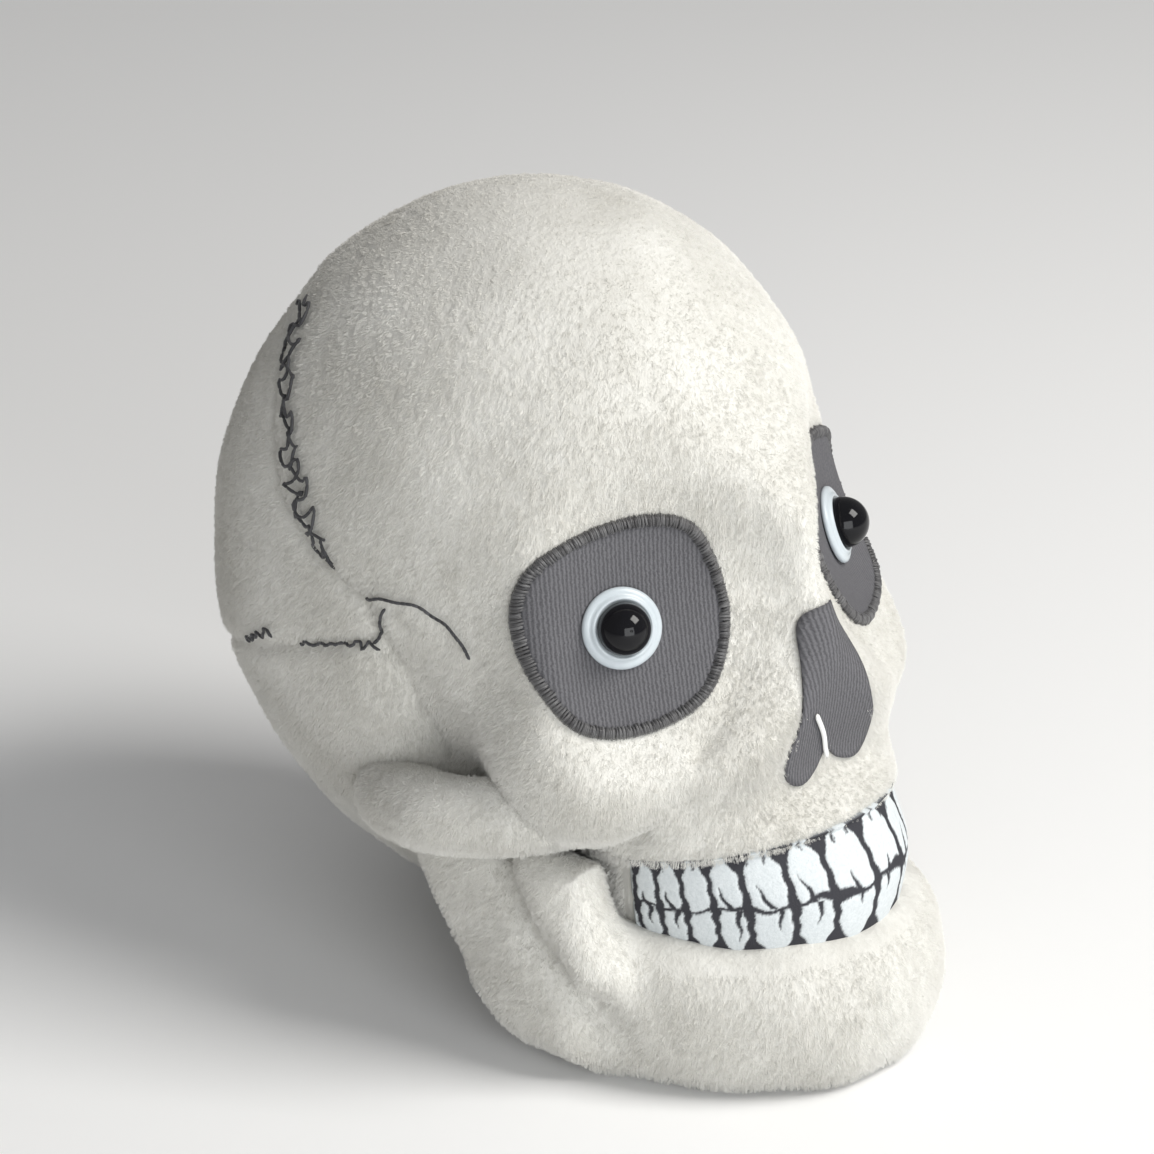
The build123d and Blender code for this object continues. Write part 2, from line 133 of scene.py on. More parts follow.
def lumps(p, size, seed=0):
    # slow uneven swelling, as in a hand stuffed toy, from about -1 to 1
    total = np.zeros(len(p))
    for k in range(4):
        a = seed + 1.7 * k
        d = np.array((sin(a * 2.1), cos(a * 1.3), sin(a * 3.7 + 1)))
        d /= np.linalg.norm(d)
        total += np.sin(p @ d * (2 * pi / size) * (1 + 0.23 * k) + 2.4 * a)
    return total / 4


def mirrored(p):
    return np.stack([np.abs(p[:, 0]), p[:, 1], p[:, 2]], -1)


# the stuffed shapes are fields: below zero inside, above zero outside
head = {
    "brainRadii": (55.6, 77.0, 64.9),
    "brainTilt": -57.9,
    "brainAheadOfBack": 68.6,
    "brainBelowCrown": 74.1,
    "faceRadii": (48.3, 40.5, 44.5),
    "faceTilt": -15.0,
    "faceBehindChin": 55.7,
    "faceHeight": 86.2,
    "cheek": (35.8, 52.7, 67.6),
    "cheekRadii": (17.6, 18.0, 17.0),
    "nape": (0.0, 24.4, 50.4),
    "napeRadii": (31.5, 40.6, 41.6),
    "muzzleMiddle": 45.0,
    # rings that tilt more the higher they are: tilt at the lowest, growth for each millimetre, upper limit
    "ringTilt": (0.053, 0.0094, 0.224),
    "ringLowest": 26.6,
    "ringHeights": (21.0, 26.6, 36.5, 43.5, 45.5, 47.0, 50.0, 56.0, 62.0, 72.0, 94.0),
    "ringHalfWidths": (24.0, 29.2, 30.6, 31.4, 31.8, 33.6, 33.8, 33.0, 31.0, 28.0, 19.0),
    "ringHalfDepths": (30.0, 35.2, 36.6, 31.6, 30.6, 32.0, 30.8, 27.0, 24.6, 23.6, 22.8),
    "middleDip": 4.5,
    "seamDepth": 1.7,
    "seamWidth": 1.7,
    "lumpSize": 34.0,
    "lumpDepth": 0.45,
}
brainCentre = np.array((0, backY - head["brainAheadOfBack"], crownZ - head["brainBelowCrown"]))
squamousFoot = np.array((0, chinY + 89.0, 88.0))
squamousNormal = np.array((0, sin(radians(21.6)), cos(radians(21.6))))
eyes = {name: eyeAxes(name) for name, side in sides}


def ringHeight(p):
    # the height, at the muzzle's middle, of the tilted ring through each place
    lowTilt, growth, topTilt = head["ringTilt"]
    lowest = head["ringLowest"]
    ahead = p[:, 1] - chinY - head["muzzleMiddle"]
    rising = (p[:, 2] + ahead * (lowTilt - growth * lowest)) / np.maximum(1 - ahead * growth, 0.3)
    steepFrom = lowest + (topTilt - lowTilt) / growth
    return np.where(rising < steepFrom, rising, p[:, 2] + ahead * topTilt)


def ringTilt(height):
    lowTilt, growth, topTilt = head["ringTilt"]
    return np.minimum(lowTilt + growth * (height - head["ringLowest"]), topTilt)


def ovalDistance(x, y, halfWidth, halfDepth):
    near = np.hypot(x / halfWidth, y / halfDepth)
    slope = np.hypot(x / halfWidth ** 2, y / halfDepth ** 2)
    return near * (near - 1) / np.maximum(slope, 1e-6)


def muzzleField(p):
    height = ringHeight(p)
    halfWidth = np.interp(height, head["ringHeights"], head["ringHalfWidths"])
    halfDepth = np.interp(height, head["ringHeights"], head["ringHalfDepths"])
    side = ovalDistance(p[:, 0], p[:, 1] - chinY - head["muzzleMiddle"], halfWidth, halfDepth)
    body = smoothCut(side, height - head["ringHeights"][0], 8)
    return smoothCut(body, head["ringHeights"][-1] + 6 - height, 12)


coronalSeam = {
    # seen from the side: (behind the chin, height), run on past the head at both ends
    "line": ((82.0, 20.0), (85.2, 63.6), (87.4, 74.6), (89.5, 87.1), (93.5, 95.1), (108.9, 102.1),
             (120.2, 109.6), (127.9, 120.5), (133.4, 131.4), (142.1, 137.6), (150.0, 150.0), (168.0, 190.0)),
}


def coronalSide(p):
    # signed distance, seen from the side, to the seam over the crown: above zero towards the face
    line = np.array(coronalSeam["line"]) + (chinY, 0)
    q = p[:, 1:]
    best, side = np.full(len(q), 1e9), np.zeros(len(q))
    for a, b in zip(line[:-1], line[1:]):
        d = b - a
        t = np.clip((q - a) @ d / (d @ d), 0, 1)
        away = q - a - t[:, None] * d
        distance = np.linalg.norm(away, axis=1)
        turn = d[0] * (q[:, 1] - a[1]) - d[1] * (q[:, 0] - a[0])
        closer = distance < best
        best = np.where(closer, distance, best)
        side = np.where(closer, np.sign(turn), side)
    return best * side


creases = {
    # each: places on the left side as (out from the middle, behind the chin, height), depth, width
    "dart": (((41, 65, 134.7), (29, 55, 141.2), (19, 48.5, 144)), 1.0, 1.3),
    "crown": (((0, 92, 168), (0, 78, 166)), 0.7, 1.8),
    "cheek": (((16.6, 29, 86.5), (24, 29, 78), (30, 33, 66), (36, 42, 52)), 1.8, 2.6),
    "pocket": (((53, 85, 80), (49, 83, 70), (44, 84, 62)), 4.5, 7.0),
    "pocketFloor": (((53, 85, 80), (49, 83, 70), (44, 84, 62)), 1.5, 2.5),
}


def headSeams(p):
    # how far the cover is pulled in at its seams and creases
    coronal = coronalSide(p)
    squamous = (p - squamousFoot) @ squamousNormal
    rear = ramp(-coronal, -1, 3)
    depth, width = head["seamDepth"], head["seamWidth"]
    pull = depth * bump(coronal, width) * ramp(p[:, 2], 52, 60)
    pull += 0.7 * ramp(-coronal, -1, 4) * ramp(p[:, 2], 90, 120)
    pull += 0.7 * depth * bump(squamous, width) * rear
    pull += 0.7 * depth * bump(p[:, 0], width) * rear
    q = mirrored(p)
    for places, deep, wide in creases.values():
        pull += deep * bump(lineDistance(q, np.array(places) + (0, chinY, 0)), wide)
    middle = ramp(p[:, 2], 50, 64) * (1 - ramp(p[:, 2], 100, 124)) * ramp(-p[:, 1], 20, 45)
    pull += head["middleDip"] * bump(p[:, 0], 15.0) * middle
    pull += head["lumpDepth"] * lumps(p, head["lumpSize"])
    return pull


socket = {
    "radius": 75.0,
    "depth": 4.2,
}


def headField(p):
    q = mirrored(p)
    brain = eggField(p, brainCentre, head["brainRadii"], head["brainTilt"])
    faceCentre = (0, chinY + head["faceBehindChin"], head["faceHeight"])
    face = eggField(p, faceCentre, head["faceRadii"], head["faceTilt"])
    nape = eggField(p, head["nape"], head["napeRadii"])
    x, behind, z = head["cheek"]
    cheek = eggField(q, (x, chinY + behind, z), head["cheekRadii"])
    whole = smoothUnion(brain, face, 10)
    whole = smoothUnion(whole, nape, 14)
    whole = smoothUnion(whole, cheek, 9)
    whole = smoothUnion(whole, muzzleField(p), 7)
    for seat, normal, towardsNose, up in eyes.values():
        bowl = seat + normal * (socket["radius"] - socket["depth"])
        whole = smoothCut(whole, np.linalg.norm(p - bowl, axis=1) - socket["radius"], 4)
    whole = smoothCut(whole, p[:, 2] - 0.2, 2)
    return whole + headSeams(p)


jaw = {
    "halfSpacing": 35.2,
    "pathDepth": 52.8,
    "tubeHalfWidth": 10.0,
    "tubeHalfHeight": 16.0,
    "tubeHeight": 15.2,
    "ramusMiddle": 42.0,
    "ramusHalfThickness": 6.2,
    "ramusRound": 5.0,
    "ramusOutline": ((94.3, 46.1), (72.9, 13.1), (59.4, 7.6), (46.0, 6.5), (41.5, 26.0), (46.0, 47.0)),
    # the crease in front of the upright cover, with a swelling beside it and a fold at its top
    "creaseDepth": 3.2,
    "creaseWidth": 3.4,
    "swelling": 1.6,
    "fold": ((47, 49, 40), (47, 47, 27)),
    "foldDepth": 1.2,
    "foldWidth": 3.0,
}
jawPathY = chinY + jaw["tubeHalfWidth"] + jaw["pathDepth"] - 0.5
creasePoint = np.array((0, chinY + 44.5, 20.5))
creaseNormal = np.array((0, sin(radians(49)), -cos(radians(49))))


def polygonDistance(y, z, outline):
    # signed distance to a convex outline given in order
    points = np.array(outline, float)
    centre = points.mean(0)
    worst = np.full(len(y), -1e9)
    for a, b in zip(points, np.roll(points, -1, 0)):
        normal = np.array((b[1] - a[1], a[0] - b[0]))
        normal /= np.linalg.norm(normal)
        if (centre - a) @ normal > 0:
            normal = -normal
        worst = np.maximum(worst, (y - a[0]) * normal[0] + (z - a[1]) * normal[1])
    return worst


def jawField(p):
    q = mirrored(p)
    behind = p[:, 1] - jawPathY
    offset = np.where(
        behind < 0,
        ovalDistance(p[:, 0], behind, jaw["halfSpacing"], jaw["pathDepth"]),
        q[:, 0] - jaw["halfSpacing"],
    )
    back = np.maximum(behind, 0)
    low = (p[:, 2] - jaw["tubeHeight"]) / jaw["tubeHalfHeight"]
    section = np.sqrt((offset ** 2 + back ** 2) / jaw["tubeHalfWidth"] ** 2 + low ** 2)
    tube = (section - 1) * jaw["tubeHalfWidth"]
    plate = polygonDistance(p[:, 1] - chinY, p[:, 2], jaw["ramusOutline"])
    softness = jaw["ramusRound"]
    level = np.maximum(plate + softness, 0)
    thick = np.maximum(np.abs(q[:, 0] - jaw["ramusMiddle"]) - jaw["ramusHalfThickness"] + softness, 0)
    shallow = np.minimum(np.maximum(plate + softness, thick - 99), 0)
    ramus = np.hypot(level, thick) - softness + shallow * 0.15
    whole = smoothUnion(tube, ramus, 9)
    crease = (p - creasePoint) @ creaseNormal
    outer = ramp(q[:, 0], 38, 44)
    whole = whole + jaw["creaseDepth"] * bump(crease, jaw["creaseWidth"]) * outer
    whole = whole - jaw["swelling"] * bump(crease + 8, 5.0) * outer
    fold = lineDistance(q, np.array(jaw["fold"]) + (0, chinY, 0))
    whole = whole + jaw["foldDepth"] * bump(fold, jaw["foldWidth"])
    whole = smoothCut(whole, p[:, 2] - 0.2, 3)
    return whole + 0.5 * lumps(p, 27.0, 3)


arch = {
    "points": ((29.5, 48.0, 57.5), (51.0, 68.0, 55.0), (45.0, 96.0, 48.0)),
    "radii": (7.0, 7.4, 7.6),
}


def archPath(count=14):
    # a smooth curve through the three points, on the left side
    a, b, c = [np.array((x, chinY + behind, z)) for x, behind, z in arch["points"]]
    t = np.linspace(0, 1, count)[:, None]
    return (1 - t) * (1 - 2 * t) * a + 4 * t * (1 - t) * b + t * (2 * t - 1) * c


archLine = archPath()


def archField(p):
    q = mirrored(p)
    radius = np.interp(q[:, 1], archLine[[0, 6, 13], 1], arch["radii"])
    whole = lineDistance(q, archLine) - radius
    return whole + 0.35 * lumps(p, 18.0, 5)


def surfaceNet(field, low, high, step):
    # one point in each cell that the surface crosses, joined into quads
    axes = [np.arange(a, b + step, step) for a, b in zip(low, high)]
    ys, zs = np.meshgrid(axes[1], axes[2], indexing="ij")
    values = np.empty([len(a) for a in axes])
    for i, x in enumerate(axes[0]):
        p = np.stack([np.full(ys.size, x), ys.ravel(), zs.ravel()], -1)
        values[i] = field(p).reshape(ys.shape)
    inside = values < 0
    cells = tuple(n - 1 for n in values.shape)
    total = np.zeros(cells + (3,))
    count = np.zeros(cells)
    for axis in range(3):
        for b in (0, 1):
            for c in (0, 1):
                start = [0, 0, 0]
                others = [k for k in range(3) if k != axis]
                start[others[0]], start[others[1]] = b, c
                end = list(start)
                end[axis] = 1
                v0 = values[tuple(slice(s, s + n) for s, n in zip(start, cells))]
                v1 = values[tuple(slice(s, s + n) for s, n in zip(end, cells))]
                crossing = (v0 < 0) != (v1 < 0)
                t = np.where(crossing, v0 / np.where(crossing, v0 - v1, 1), 0)
                count += crossing
                total[..., axis] += t
                total[..., others[0]] += crossing * b
                total[..., others[1]] += crossing * c
    active = count > 0
    index = np.full(cells, -1)
    index[active] = np.arange(active.sum())
    place = np.argwhere(active) + total[active] / count[active][:, None]
    verts = place * step + np.array([a[0] for a in axes])
    quads = []
    for axis in range(3):
        b, c = (axis + 1) % 3, (axis + 2) % 3
        here = [slice(1, -1)] * 3
        ahead = [slice(1, -1)] * 3
        here[axis], ahead[axis] = slice(0, -1), slice(1, None)
        lower, upper = inside[tuple(here)], inside[tuple(ahead)]
        for flip in (False, True):
            found = np.argwhere((lower != upper) & (lower != flip))
            if axis == 0:
                found = found + np.array((0, 1, 1))
            elif axis == 1:
                found = found + np.array((1, 0, 1))
            else:
                found = found + np.array((1, 1, 0))
            corners = []
            for db, dc in ((-1, -1), (0, -1), (0, 0), (-1, 0)):
                cell = found.copy()
                cell[:, b] += db
                cell[:, c] += dc
                corners.append(index[cell[:, 0], cell[:, 1], cell[:, 2]])
            quads.append(np.stack(corners[::-1] if flip else corners, -1))
    return verts, np.concatenate(quads)


def gradient(field, p, reach=0.3):
    g = np.empty_like(p)
    for axis in range(3):
        d = np.zeros(3)
        d[axis] = reach
        g[:, axis] = (field(p + d) - field(p - d)) / (2 * reach)
    return g


def ontoSurface(field, p, rounds=2):
    for k in range(rounds):
        g = gradient(field, p)
        step = field(p) / np.maximum((g * g).sum(1), 0.2)
        p = p - np.clip(step, -1.5, 1.5)[:, None] * g
    return p


def relax(field, verts, quads, rounds):
    # evens out the mesh and keeps it on the surface
    edges = np.concatenate([quads[:, [0, 1]], quads[:, [1, 2]], quads[:, [2, 3]], quads[:, [3, 0]]])
    degree = np.bincount(edges.ravel(), minlength=len(verts))[:, None]
    for k in range(rounds):
        total = np.zeros_like(verts)
        np.add.at(total, edges[:, 0], verts[edges[:, 1]])
        np.add.at(total, edges[:, 1], verts[edges[:, 0]])
        verts = ontoSurface(field, verts + 0.6 * (total / degree - verts), 1)
    return ontoSurface(field, verts)


def drop(field, points, direction, lift=0.0, reach=16.0):
    # slides points back along a direction until they meet the surface
    direction = np.asarray(direction, float)
    travel = np.full(len(points), reach)
    for k in range(40):
        travel -= 0.8 * field(points + travel[:, None] * direction)
    found = points + travel[:, None] * direction
    g = unit(gradient(field, found))
    return found + lift * g, g


def newMesh(name, verts, faces):
    mesh = bpy.data.meshes.new(name)
    mesh.from_pydata((verts * mm).tolist(), [], faces.tolist() if isinstance(faces, np.ndarray) else faces)
    mesh.validate()
    mesh.update()
    mesh.shade_smooth()
    obj = bpy.data.objects.new(name, mesh)
    bpy.context.scene.collection.objects.link(obj)
    return obj


def settle(piece, material, body, node):
    piece.data.materials.append(material)
    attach(piece, body)
    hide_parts(node)


def nodeTree(name):
    material = bpy.data.materials.new(name)
    material.use_nodes = True
    tree = material.node_tree
    return material, tree, tree.nodes["Principled BSDF"]


def add(tree, kind, **values):
    node = tree.nodes.new(kind)
    for key, value in values.items():
        if key in node.inputs:
            node.inputs[key].default_value = value
        else:
            setattr(node, key, value)
    return node


def wire(tree, rows):
    for source, output, target, entry in rows:
        tree.links.new(source.outputs[output], target.inputs[entry])


def toneAndRoughness(tree, shader, varying, deep, light, roughDeep, roughLight):
    # one value that varies over the surface sets both
    mix = add(tree, "ShaderNodeMix", data_type="RGBA", A=deep, B=light)
    rough = add(tree, "ShaderNodeMapRange", **{"To Min": roughDeep, "To Max": roughLight})
    tree.links.new(varying, mix.inputs["Factor"])
    tree.links.new(mix.outputs["Result"], shader.inputs["Base Color"])
    tree.links.new(varying, rough.inputs["Value"])
    tree.links.new(rough.outputs["Result"], shader.inputs["Roughness"])


def relief(tree, shader, height, strength, distance):
    rise = add(tree, "ShaderNodeBump", Strength=strength, Distance=distance)
    tree.links.new(height, rise.inputs["Height"])
    tree.links.new(rise.outputs["Normal"], shader.inputs["Normal"])


def pileGroup():
    # uneven tone and fine nap of a brushed cloth, from place alone
    group = bpy.data.node_groups.new("brushedNap", "ShaderNodeTree")
    for socket, kind, value in (
        ("Light Tone", "NodeSocketColor", (1, 1, 1, 1)),
        ("Deep Tone", "NodeSocketColor", (0.5, 0.5, 0.5, 1)),
        ("Blotch Scale", "NodeSocketFloat", 40.0),
        ("Nap Scale", "NodeSocketFloat", 600.0),
    ):
        made = group.interface.new_socket(socket, in_out="INPUT", socket_type=kind)
        made.default_value = value
    group.interface.new_socket("Color", in_out="OUTPUT", socket_type="NodeSocketColor")
    group.interface.new_socket("Height", in_out="OUTPUT", socket_type="NodeSocketFloat")
    enter = group.nodes.new("NodeGroupInput")
    leave = group.nodes.new("NodeGroupOutput")
    place = group.nodes.new("ShaderNodeTexCoord")
    blotch = add(group, "ShaderNodeTexNoise", Detail=3.0, Roughness=0.6)
    stretch = add(group, "ShaderNodeMapping", Scale=(1.0, 1.0, 0.35))
    nap = add(group, "ShaderNodeTexNoise", Detail=4.0, Roughness=0.65)
    both = add(group, "ShaderNodeMath", operation="MULTIPLY_ADD")
    both.inputs[1].default_value = 0.55
    spread = add(group, "ShaderNodeMapRange", **{"From Min": 0.42, "From Max": 0.98})
    mix = add(group, "ShaderNodeMix", data_type="RGBA")
    wire(group, (
        (place, "Object", blotch, "Vector"),
        (place, "Object", stretch, "Vector"),
        (stretch, "Vector", nap, "Vector"),
        (enter, "Blotch Scale", blotch, "Scale"),
        (enter, "Nap Scale", nap, "Scale"),
        (nap, "Fac", both, 0),
        (blotch, "Fac", both, 2),
        (both, "Value", spread, "Value"),
        (spread, "Result", mix, "Factor"),
        (enter, "Deep Tone", mix, "A"),
        (enter, "Light Tone", mix, "B"),
        (mix, "Result", leave, "Color"),
        (nap, "Fac", leave, "Height"),
    ))
    return group


nap = pileGroup()


def plushMaterial(name, light, deep, roughness, napRelief):
    material, tree, shader = nodeTree(name)
    tone = add(tree, "ShaderNodeGroup")
    tone.node_tree = nap
    tone.inputs["Light Tone"].default_value = light
    tone.inputs["Deep Tone"].default_value = deep
    tree.links.new(tone.outputs["Color"], shader.inputs["Base Color"])
    if napRelief:
        relief(tree, shader, tone.outputs["Height"], napRelief, 0.0006)
    shader.inputs["Roughness"].default_value = roughness
    shader.inputs["Specular IOR Level"].default_value = 0.15
    shader.inputs["Sheen Weight"].default_value = 0.25
    shader.inputs["Sheen Roughness"].default_value = 0.6
    return material


plush = {
    "light": (0.72, 0.71, 0.67, 1),
    "deep": (0.54, 0.525, 0.48, 1),
    "tipLight": (0.83, 0.82, 0.785, 1),
    "tipDeep": (0.66, 0.645, 0.60, 1),
    "pileLength": 1.5,
    "parentsPerSquareMillimetre": 1.1,
    "children": 8,
    "upright": 0.55,
    "comb": (0.12, 0.10, -0.50),
    "scatter": 0.22,
}
plushCloth = plushMaterial("plushCloth", plush["light"], plush["deep"], 0.95, 0.8)
plushPile = plushMaterial("plushPile", plush["tipLight"], plush["tipDeep"], 0.8, 0)


def ribbedMaterial(name, light, deep, pitch):
    # fine ribbed twill; its ribs follow the piece's own flat layout
    material, tree, shader = nodeTree(name)
    layout = add(tree, "ShaderNodeUVMap")
    ribs = add(tree, "ShaderNodeTexWave", Scale=pi / pitch, Distortion=3.0, Detail=3.0,
               **{"Detail Scale": 3.0})
    fleck = add(tree, "ShaderNodeTexNoise", Scale=28.0, Detail=4.0, Roughness=0.75)
    both = add(tree, "ShaderNodeMath", operation="MULTIPLY_ADD")
    both.inputs[1].default_value = 0.45
    spread = add(tree, "ShaderNodeMapRange", **{"From Min": 0.35, "From Max": 1.0})
    wire(tree, (
        (layout, "UV", ribs, "Vector"),
        (layout, "UV", fleck, "Vector"),
        (ribs, "Fac", both, 0),
        (fleck, "Fac", both, 2),
        (both, "Value", spread, "Value"),
    ))
    toneAndRoughness(tree, shader, spread.outputs["Result"], deep, light, 0.95, 0.75)
    relief(tree, shader, both.outputs["Value"], 0.7, 0.0002)
    shader.inputs["Specular IOR Level"].default_value = 0.2
    return material


def threadMaterial(name, light, deep, roughness, sheen):
    # embroidery thread; each stitch has its own tone in the "stitchTone" attribute
    material, tree, shader = nodeTree(name)
    tone = add(tree, "ShaderNodeAttribute", attribute_name="stitchTone")
    toneAndRoughness(tree, shader, tone.outputs["Fac"], deep, light, roughness, roughness + 0.15)
    shader.inputs["Sheen Weight"].default_value = sheen
    return material


patchCloth = ribbedMaterial("patchTwill", (0.160, 0.158, 0.168, 1), (0.070, 0.069, 0.075, 1), 0.85)
borderThread = threadMaterial("borderThread", (0.150, 0.148, 0.150, 1), (0.042, 0.040, 0.042, 1), 0.38, 0.2)
sutureThread = threadMaterial("sutureThread", (0.075, 0.075, 0.08, 1), (0.03, 0.03, 0.033, 1), 0.55, 0.1)
whiteThread = threadMaterial("whiteThread", (0.85, 0.85, 0.83, 1), (0.72, 0.72, 0.70, 1), 0.6, 0.2)


toothPrint = {
    "groundDeep": (0.50, 0.545, 0.56, 1),
    "groundLight": (0.80, 0.83, 0.845, 1),
    "ink": (0.045, 0.045, 0.052, 1),
}


def teethMaterial():
    # smooth printed cloth: printed ink, and a painted shadow under the lip along the top edge, from a point
    # attribute over a faintly mottled ground
    material, tree, shader = nodeTree("teethPrint")
    ink = add(tree, "ShaderNodeAttribute", attribute_name="ink")
    place = add(tree, "ShaderNodeTexCoord")
    grain = add(tree, "ShaderNodeTexNoise", Scale=1500.0, Detail=3.0, Roughness=0.7)
    ground = add(tree, "ShaderNodeMix", data_type="RGBA", A=toothPrint["groundDeep"],
                 B=toothPrint["groundLight"])
    mix = add(tree, "ShaderNodeMix", data_type="RGBA", B=toothPrint["ink"])
    rough = add(tree, "ShaderNodeMapRange", **{"To Min": 0.75, "To Max": 0.95})
    wire(tree, (
        (place, "Object", grain, "Vector"),
        (grain, "Fac", ground, "Factor"),
        (ground, "Result", mix, "A"),
        (ink, "Fac", mix, "Factor"),
        (mix, "Result", shader, "Base Color"),
    ))
    relief(tree, shader, grain.outputs["Fac"], 0.5, 0.0003)
    wire(tree, (
        (grain, "Fac", rough, "Value"),
        (rough, "Result", shader, "Roughness"),
    ))
    shader.inputs["Specular IOR Level"].default_value = 0.2
    return material


plastics = {
    # light tone, deep tone, roughness, size of the marks
    "eyeBlack": ((0.008, 0.008, 0.010, 1), (0.004, 0.004, 0.005, 1), 0.03, 300),
    "eyeWhite": ((0.60, 0.65, 0.68, 1), (0.50, 0.555, 0.59, 1), 0.22, 500),
    "washerPlastic": ((0.75, 0.75, 0.72, 1), (0.66, 0.66, 0.63, 1), 0.4, 400),
}


def plasticMaterial(name):
    # moulded plastic with faint handling marks
    light, deep, roughness, wearScale = plastics[name]
    material, tree, shader = nodeTree(name)
    place = add(tree, "ShaderNodeTexCoord")
    marks = add(tree, "ShaderNodeTexNoise", Scale=wearScale, Detail=5.0, Roughness=0.7)
    tree.links.new(place.outputs["Object"], marks.inputs["Vector"])
    toneAndRoughness(tree, shader, marks.outputs["Fac"], deep, light, roughness, roughness + 0.08)
    return material, shader


teethPrint = teethMaterial()
eyeBlack, eyeShader = plasticMaterial("eyeBlack")
eyeShader.inputs["Specular IOR Level"].default_value = 0.25
eyeWhite, ringShader = plasticMaterial("eyeWhite")
ringShader.inputs["Subsurface Weight"].default_value = 0.15
ringShader.inputs["Subsurface Radius"].default_value = (0.001, 0.001, 0.001)
washerWhite = plasticMaterial("washerPlastic")[0]
print("materials made")


# outlines of what is sewn on the head
patch = {
    # towards the nose, up; in the eye's own plane
    "outline": ((-20.8, 4.5), (-16.8, 14), (-4, 20.0), (9, 21.3), (17.6, 16.4), (22, 0), (16.5, -14.5),
                (3.5, -20.8), (-10.5, -19.3), (-18.2, -8.5)),
    "inset": 0.06,
    "borderWidth": 2.4,
    "lift": 0.9,
    "rings": 14,
    "thickness": 0.7,
}
nose = {
    # out from the middle, height
    "half": ((0, 97), (4.5, 95), (7.0, 87), (10.0, 77), (13.0, 69.5), (12.3, 64), (8.5, 61.3), (3.5, 63),
             (0, 66.5)),
    "lift": 0.9,
    "rings": 12,
    "septum": ((-6.4, 77), (-2.6, 71), (-0.2, 64.6)),
    "septumLift": 0.45,
    "septumRadius": 0.62,
}


def curvePieces(points):
    # a smooth curve through every point but the first and last, as one short run between each two
    t = np.linspace(0, 1, 24, endpoint=False)[:, None]
    runs = []
    for a, b, c, d in zip(points[:-3], points[1:-2], points[2:-1], points[3:]):
        squared = 2 * a - 5 * b + 4 * c - d
        cubed = 3 * b - a - 3 * c + d
        runs.append(0.5 * (2 * b + (c - a) * t + squared * t ** 2 + cubed * t ** 3))
    return runs


def closedCurve(points, count):
    # a smooth closed curve through the points, evenly spaced along its length
    points = np.array(points, float)
    fine = curvePieces(np.concatenate([points[-1:], points, points[:2]]))
    return evenly(np.concatenate(fine + [fine[0][:1]]), count + 1)[:-1]


def runLengths(line):
    return np.concatenate([[0], np.cumsum(np.linalg.norm(np.diff(line, axis=0), axis=1))])


def evenly(line, count):
    lengths = runLengths(line)
    at = np.linspace(0, lengths[-1], count)
    return np.stack([np.interp(at, lengths, line[:, k]) for k in range(line.shape[1])], -1)


def smoothLine(points, count):
    points = np.array(points, float)
    before, after = 2 * points[0] - points[1], 2 * points[-1] - points[-2]
    fine = curvePieces(np.concatenate([[before], points, [after]]))
    return evenly(np.concatenate(fine + [points[-1:]]), count)


def inOutline(flat, outline):
    # signed distance to a closed outline: below zero inside
    a, b = outline, np.roll(outline, -1, 0)
    best = np.full(len(flat), 1e9)
    crossings = np.zeros(len(flat), int)
    for p, q in zip(a, b):
        d = q - p
        t = np.clip((flat - p) @ d / (d @ d), 0, 1)
        best = np.minimum(best, np.linalg.norm(flat - p - t[:, None] * d, axis=1))
        high = (p[1] > flat[:, 1]) != (q[1] > flat[:, 1])
        x = p[0] + (flat[:, 1] - p[1]) * d[0] / (d[1] if abs(d[1]) > 1e-9 else 1e-9)
        crossings += high & (flat[:, 0] < x)
    return np.where(crossings % 2 == 1, -best, best)


patchOutline = closedCurve(patch["outline"], 72)
noseHalf = np.array(nose["half"], float)
noseOutline = closedCurve(np.concatenate([noseHalf, noseHalf[-2:0:-1] * (-1, 1)]), 72)
sutures = {
    # seen from the side: (behind the chin, height)
    "coronal": ((133.5, 140), (130, 132.7), (124.3, 125.5), (118.4, 118), (112.9, 110), (106.9, 103.5),
                (102, 100.5)),
    "squamousRear": ((134, 71.5), (126, 76.5), (120.5, 79)),
    "squamous": ((113, 79.7), (104.3, 81.6), (97.2, 84), (91.4, 85.2)),
    "link": ((92.6, 85.2), (89.4, 91.3), (87.5, 95.8)),
    "temple": ((93.5, 95.6), (86.2, 97), (80.7, 96.9), (75.4, 94.6), (72, 91.4), (69.9, 88.1)),
    # how far each line swings to a side, and how long a swing is
    "coronalSwing": (2.7, 6.4),
    "squamousSwing": (0.9, 3.6),
    "linkSwing": (0.25, 5.0),
    "templeSwing": (0.22, 7.0),
    "threadRadius": 0.36,
    "lift": 0.9,
}


def wiggle(line, amplitude, pitch, phase):
    # swings a side view line left and right, unevenly, as hand guided stitching
    line = evenly(np.array(line, float), 400)
    lengths = runLengths(line)
    heading = unit(np.gradient(line, axis=0))
    across = np.stack([-heading[:, 1], heading[:, 0]], -1)
    t = 2 * pi * lengths / pitch + phase
    swing = np.sin(t + 0.8 * np.sin(t * 0.37 + phase)) * (0.75 + 0.35 * np.sin(t * 0.23 + 2 * phase))
    slide = 0.35 * np.sin(2 * t + 1.1)
    moved = line + across * (amplitude * swing)[:, None] + heading * (amplitude * slide)[:, None]
    return evenly(moved, max(12, int(lengths[-1] * 2.4)))


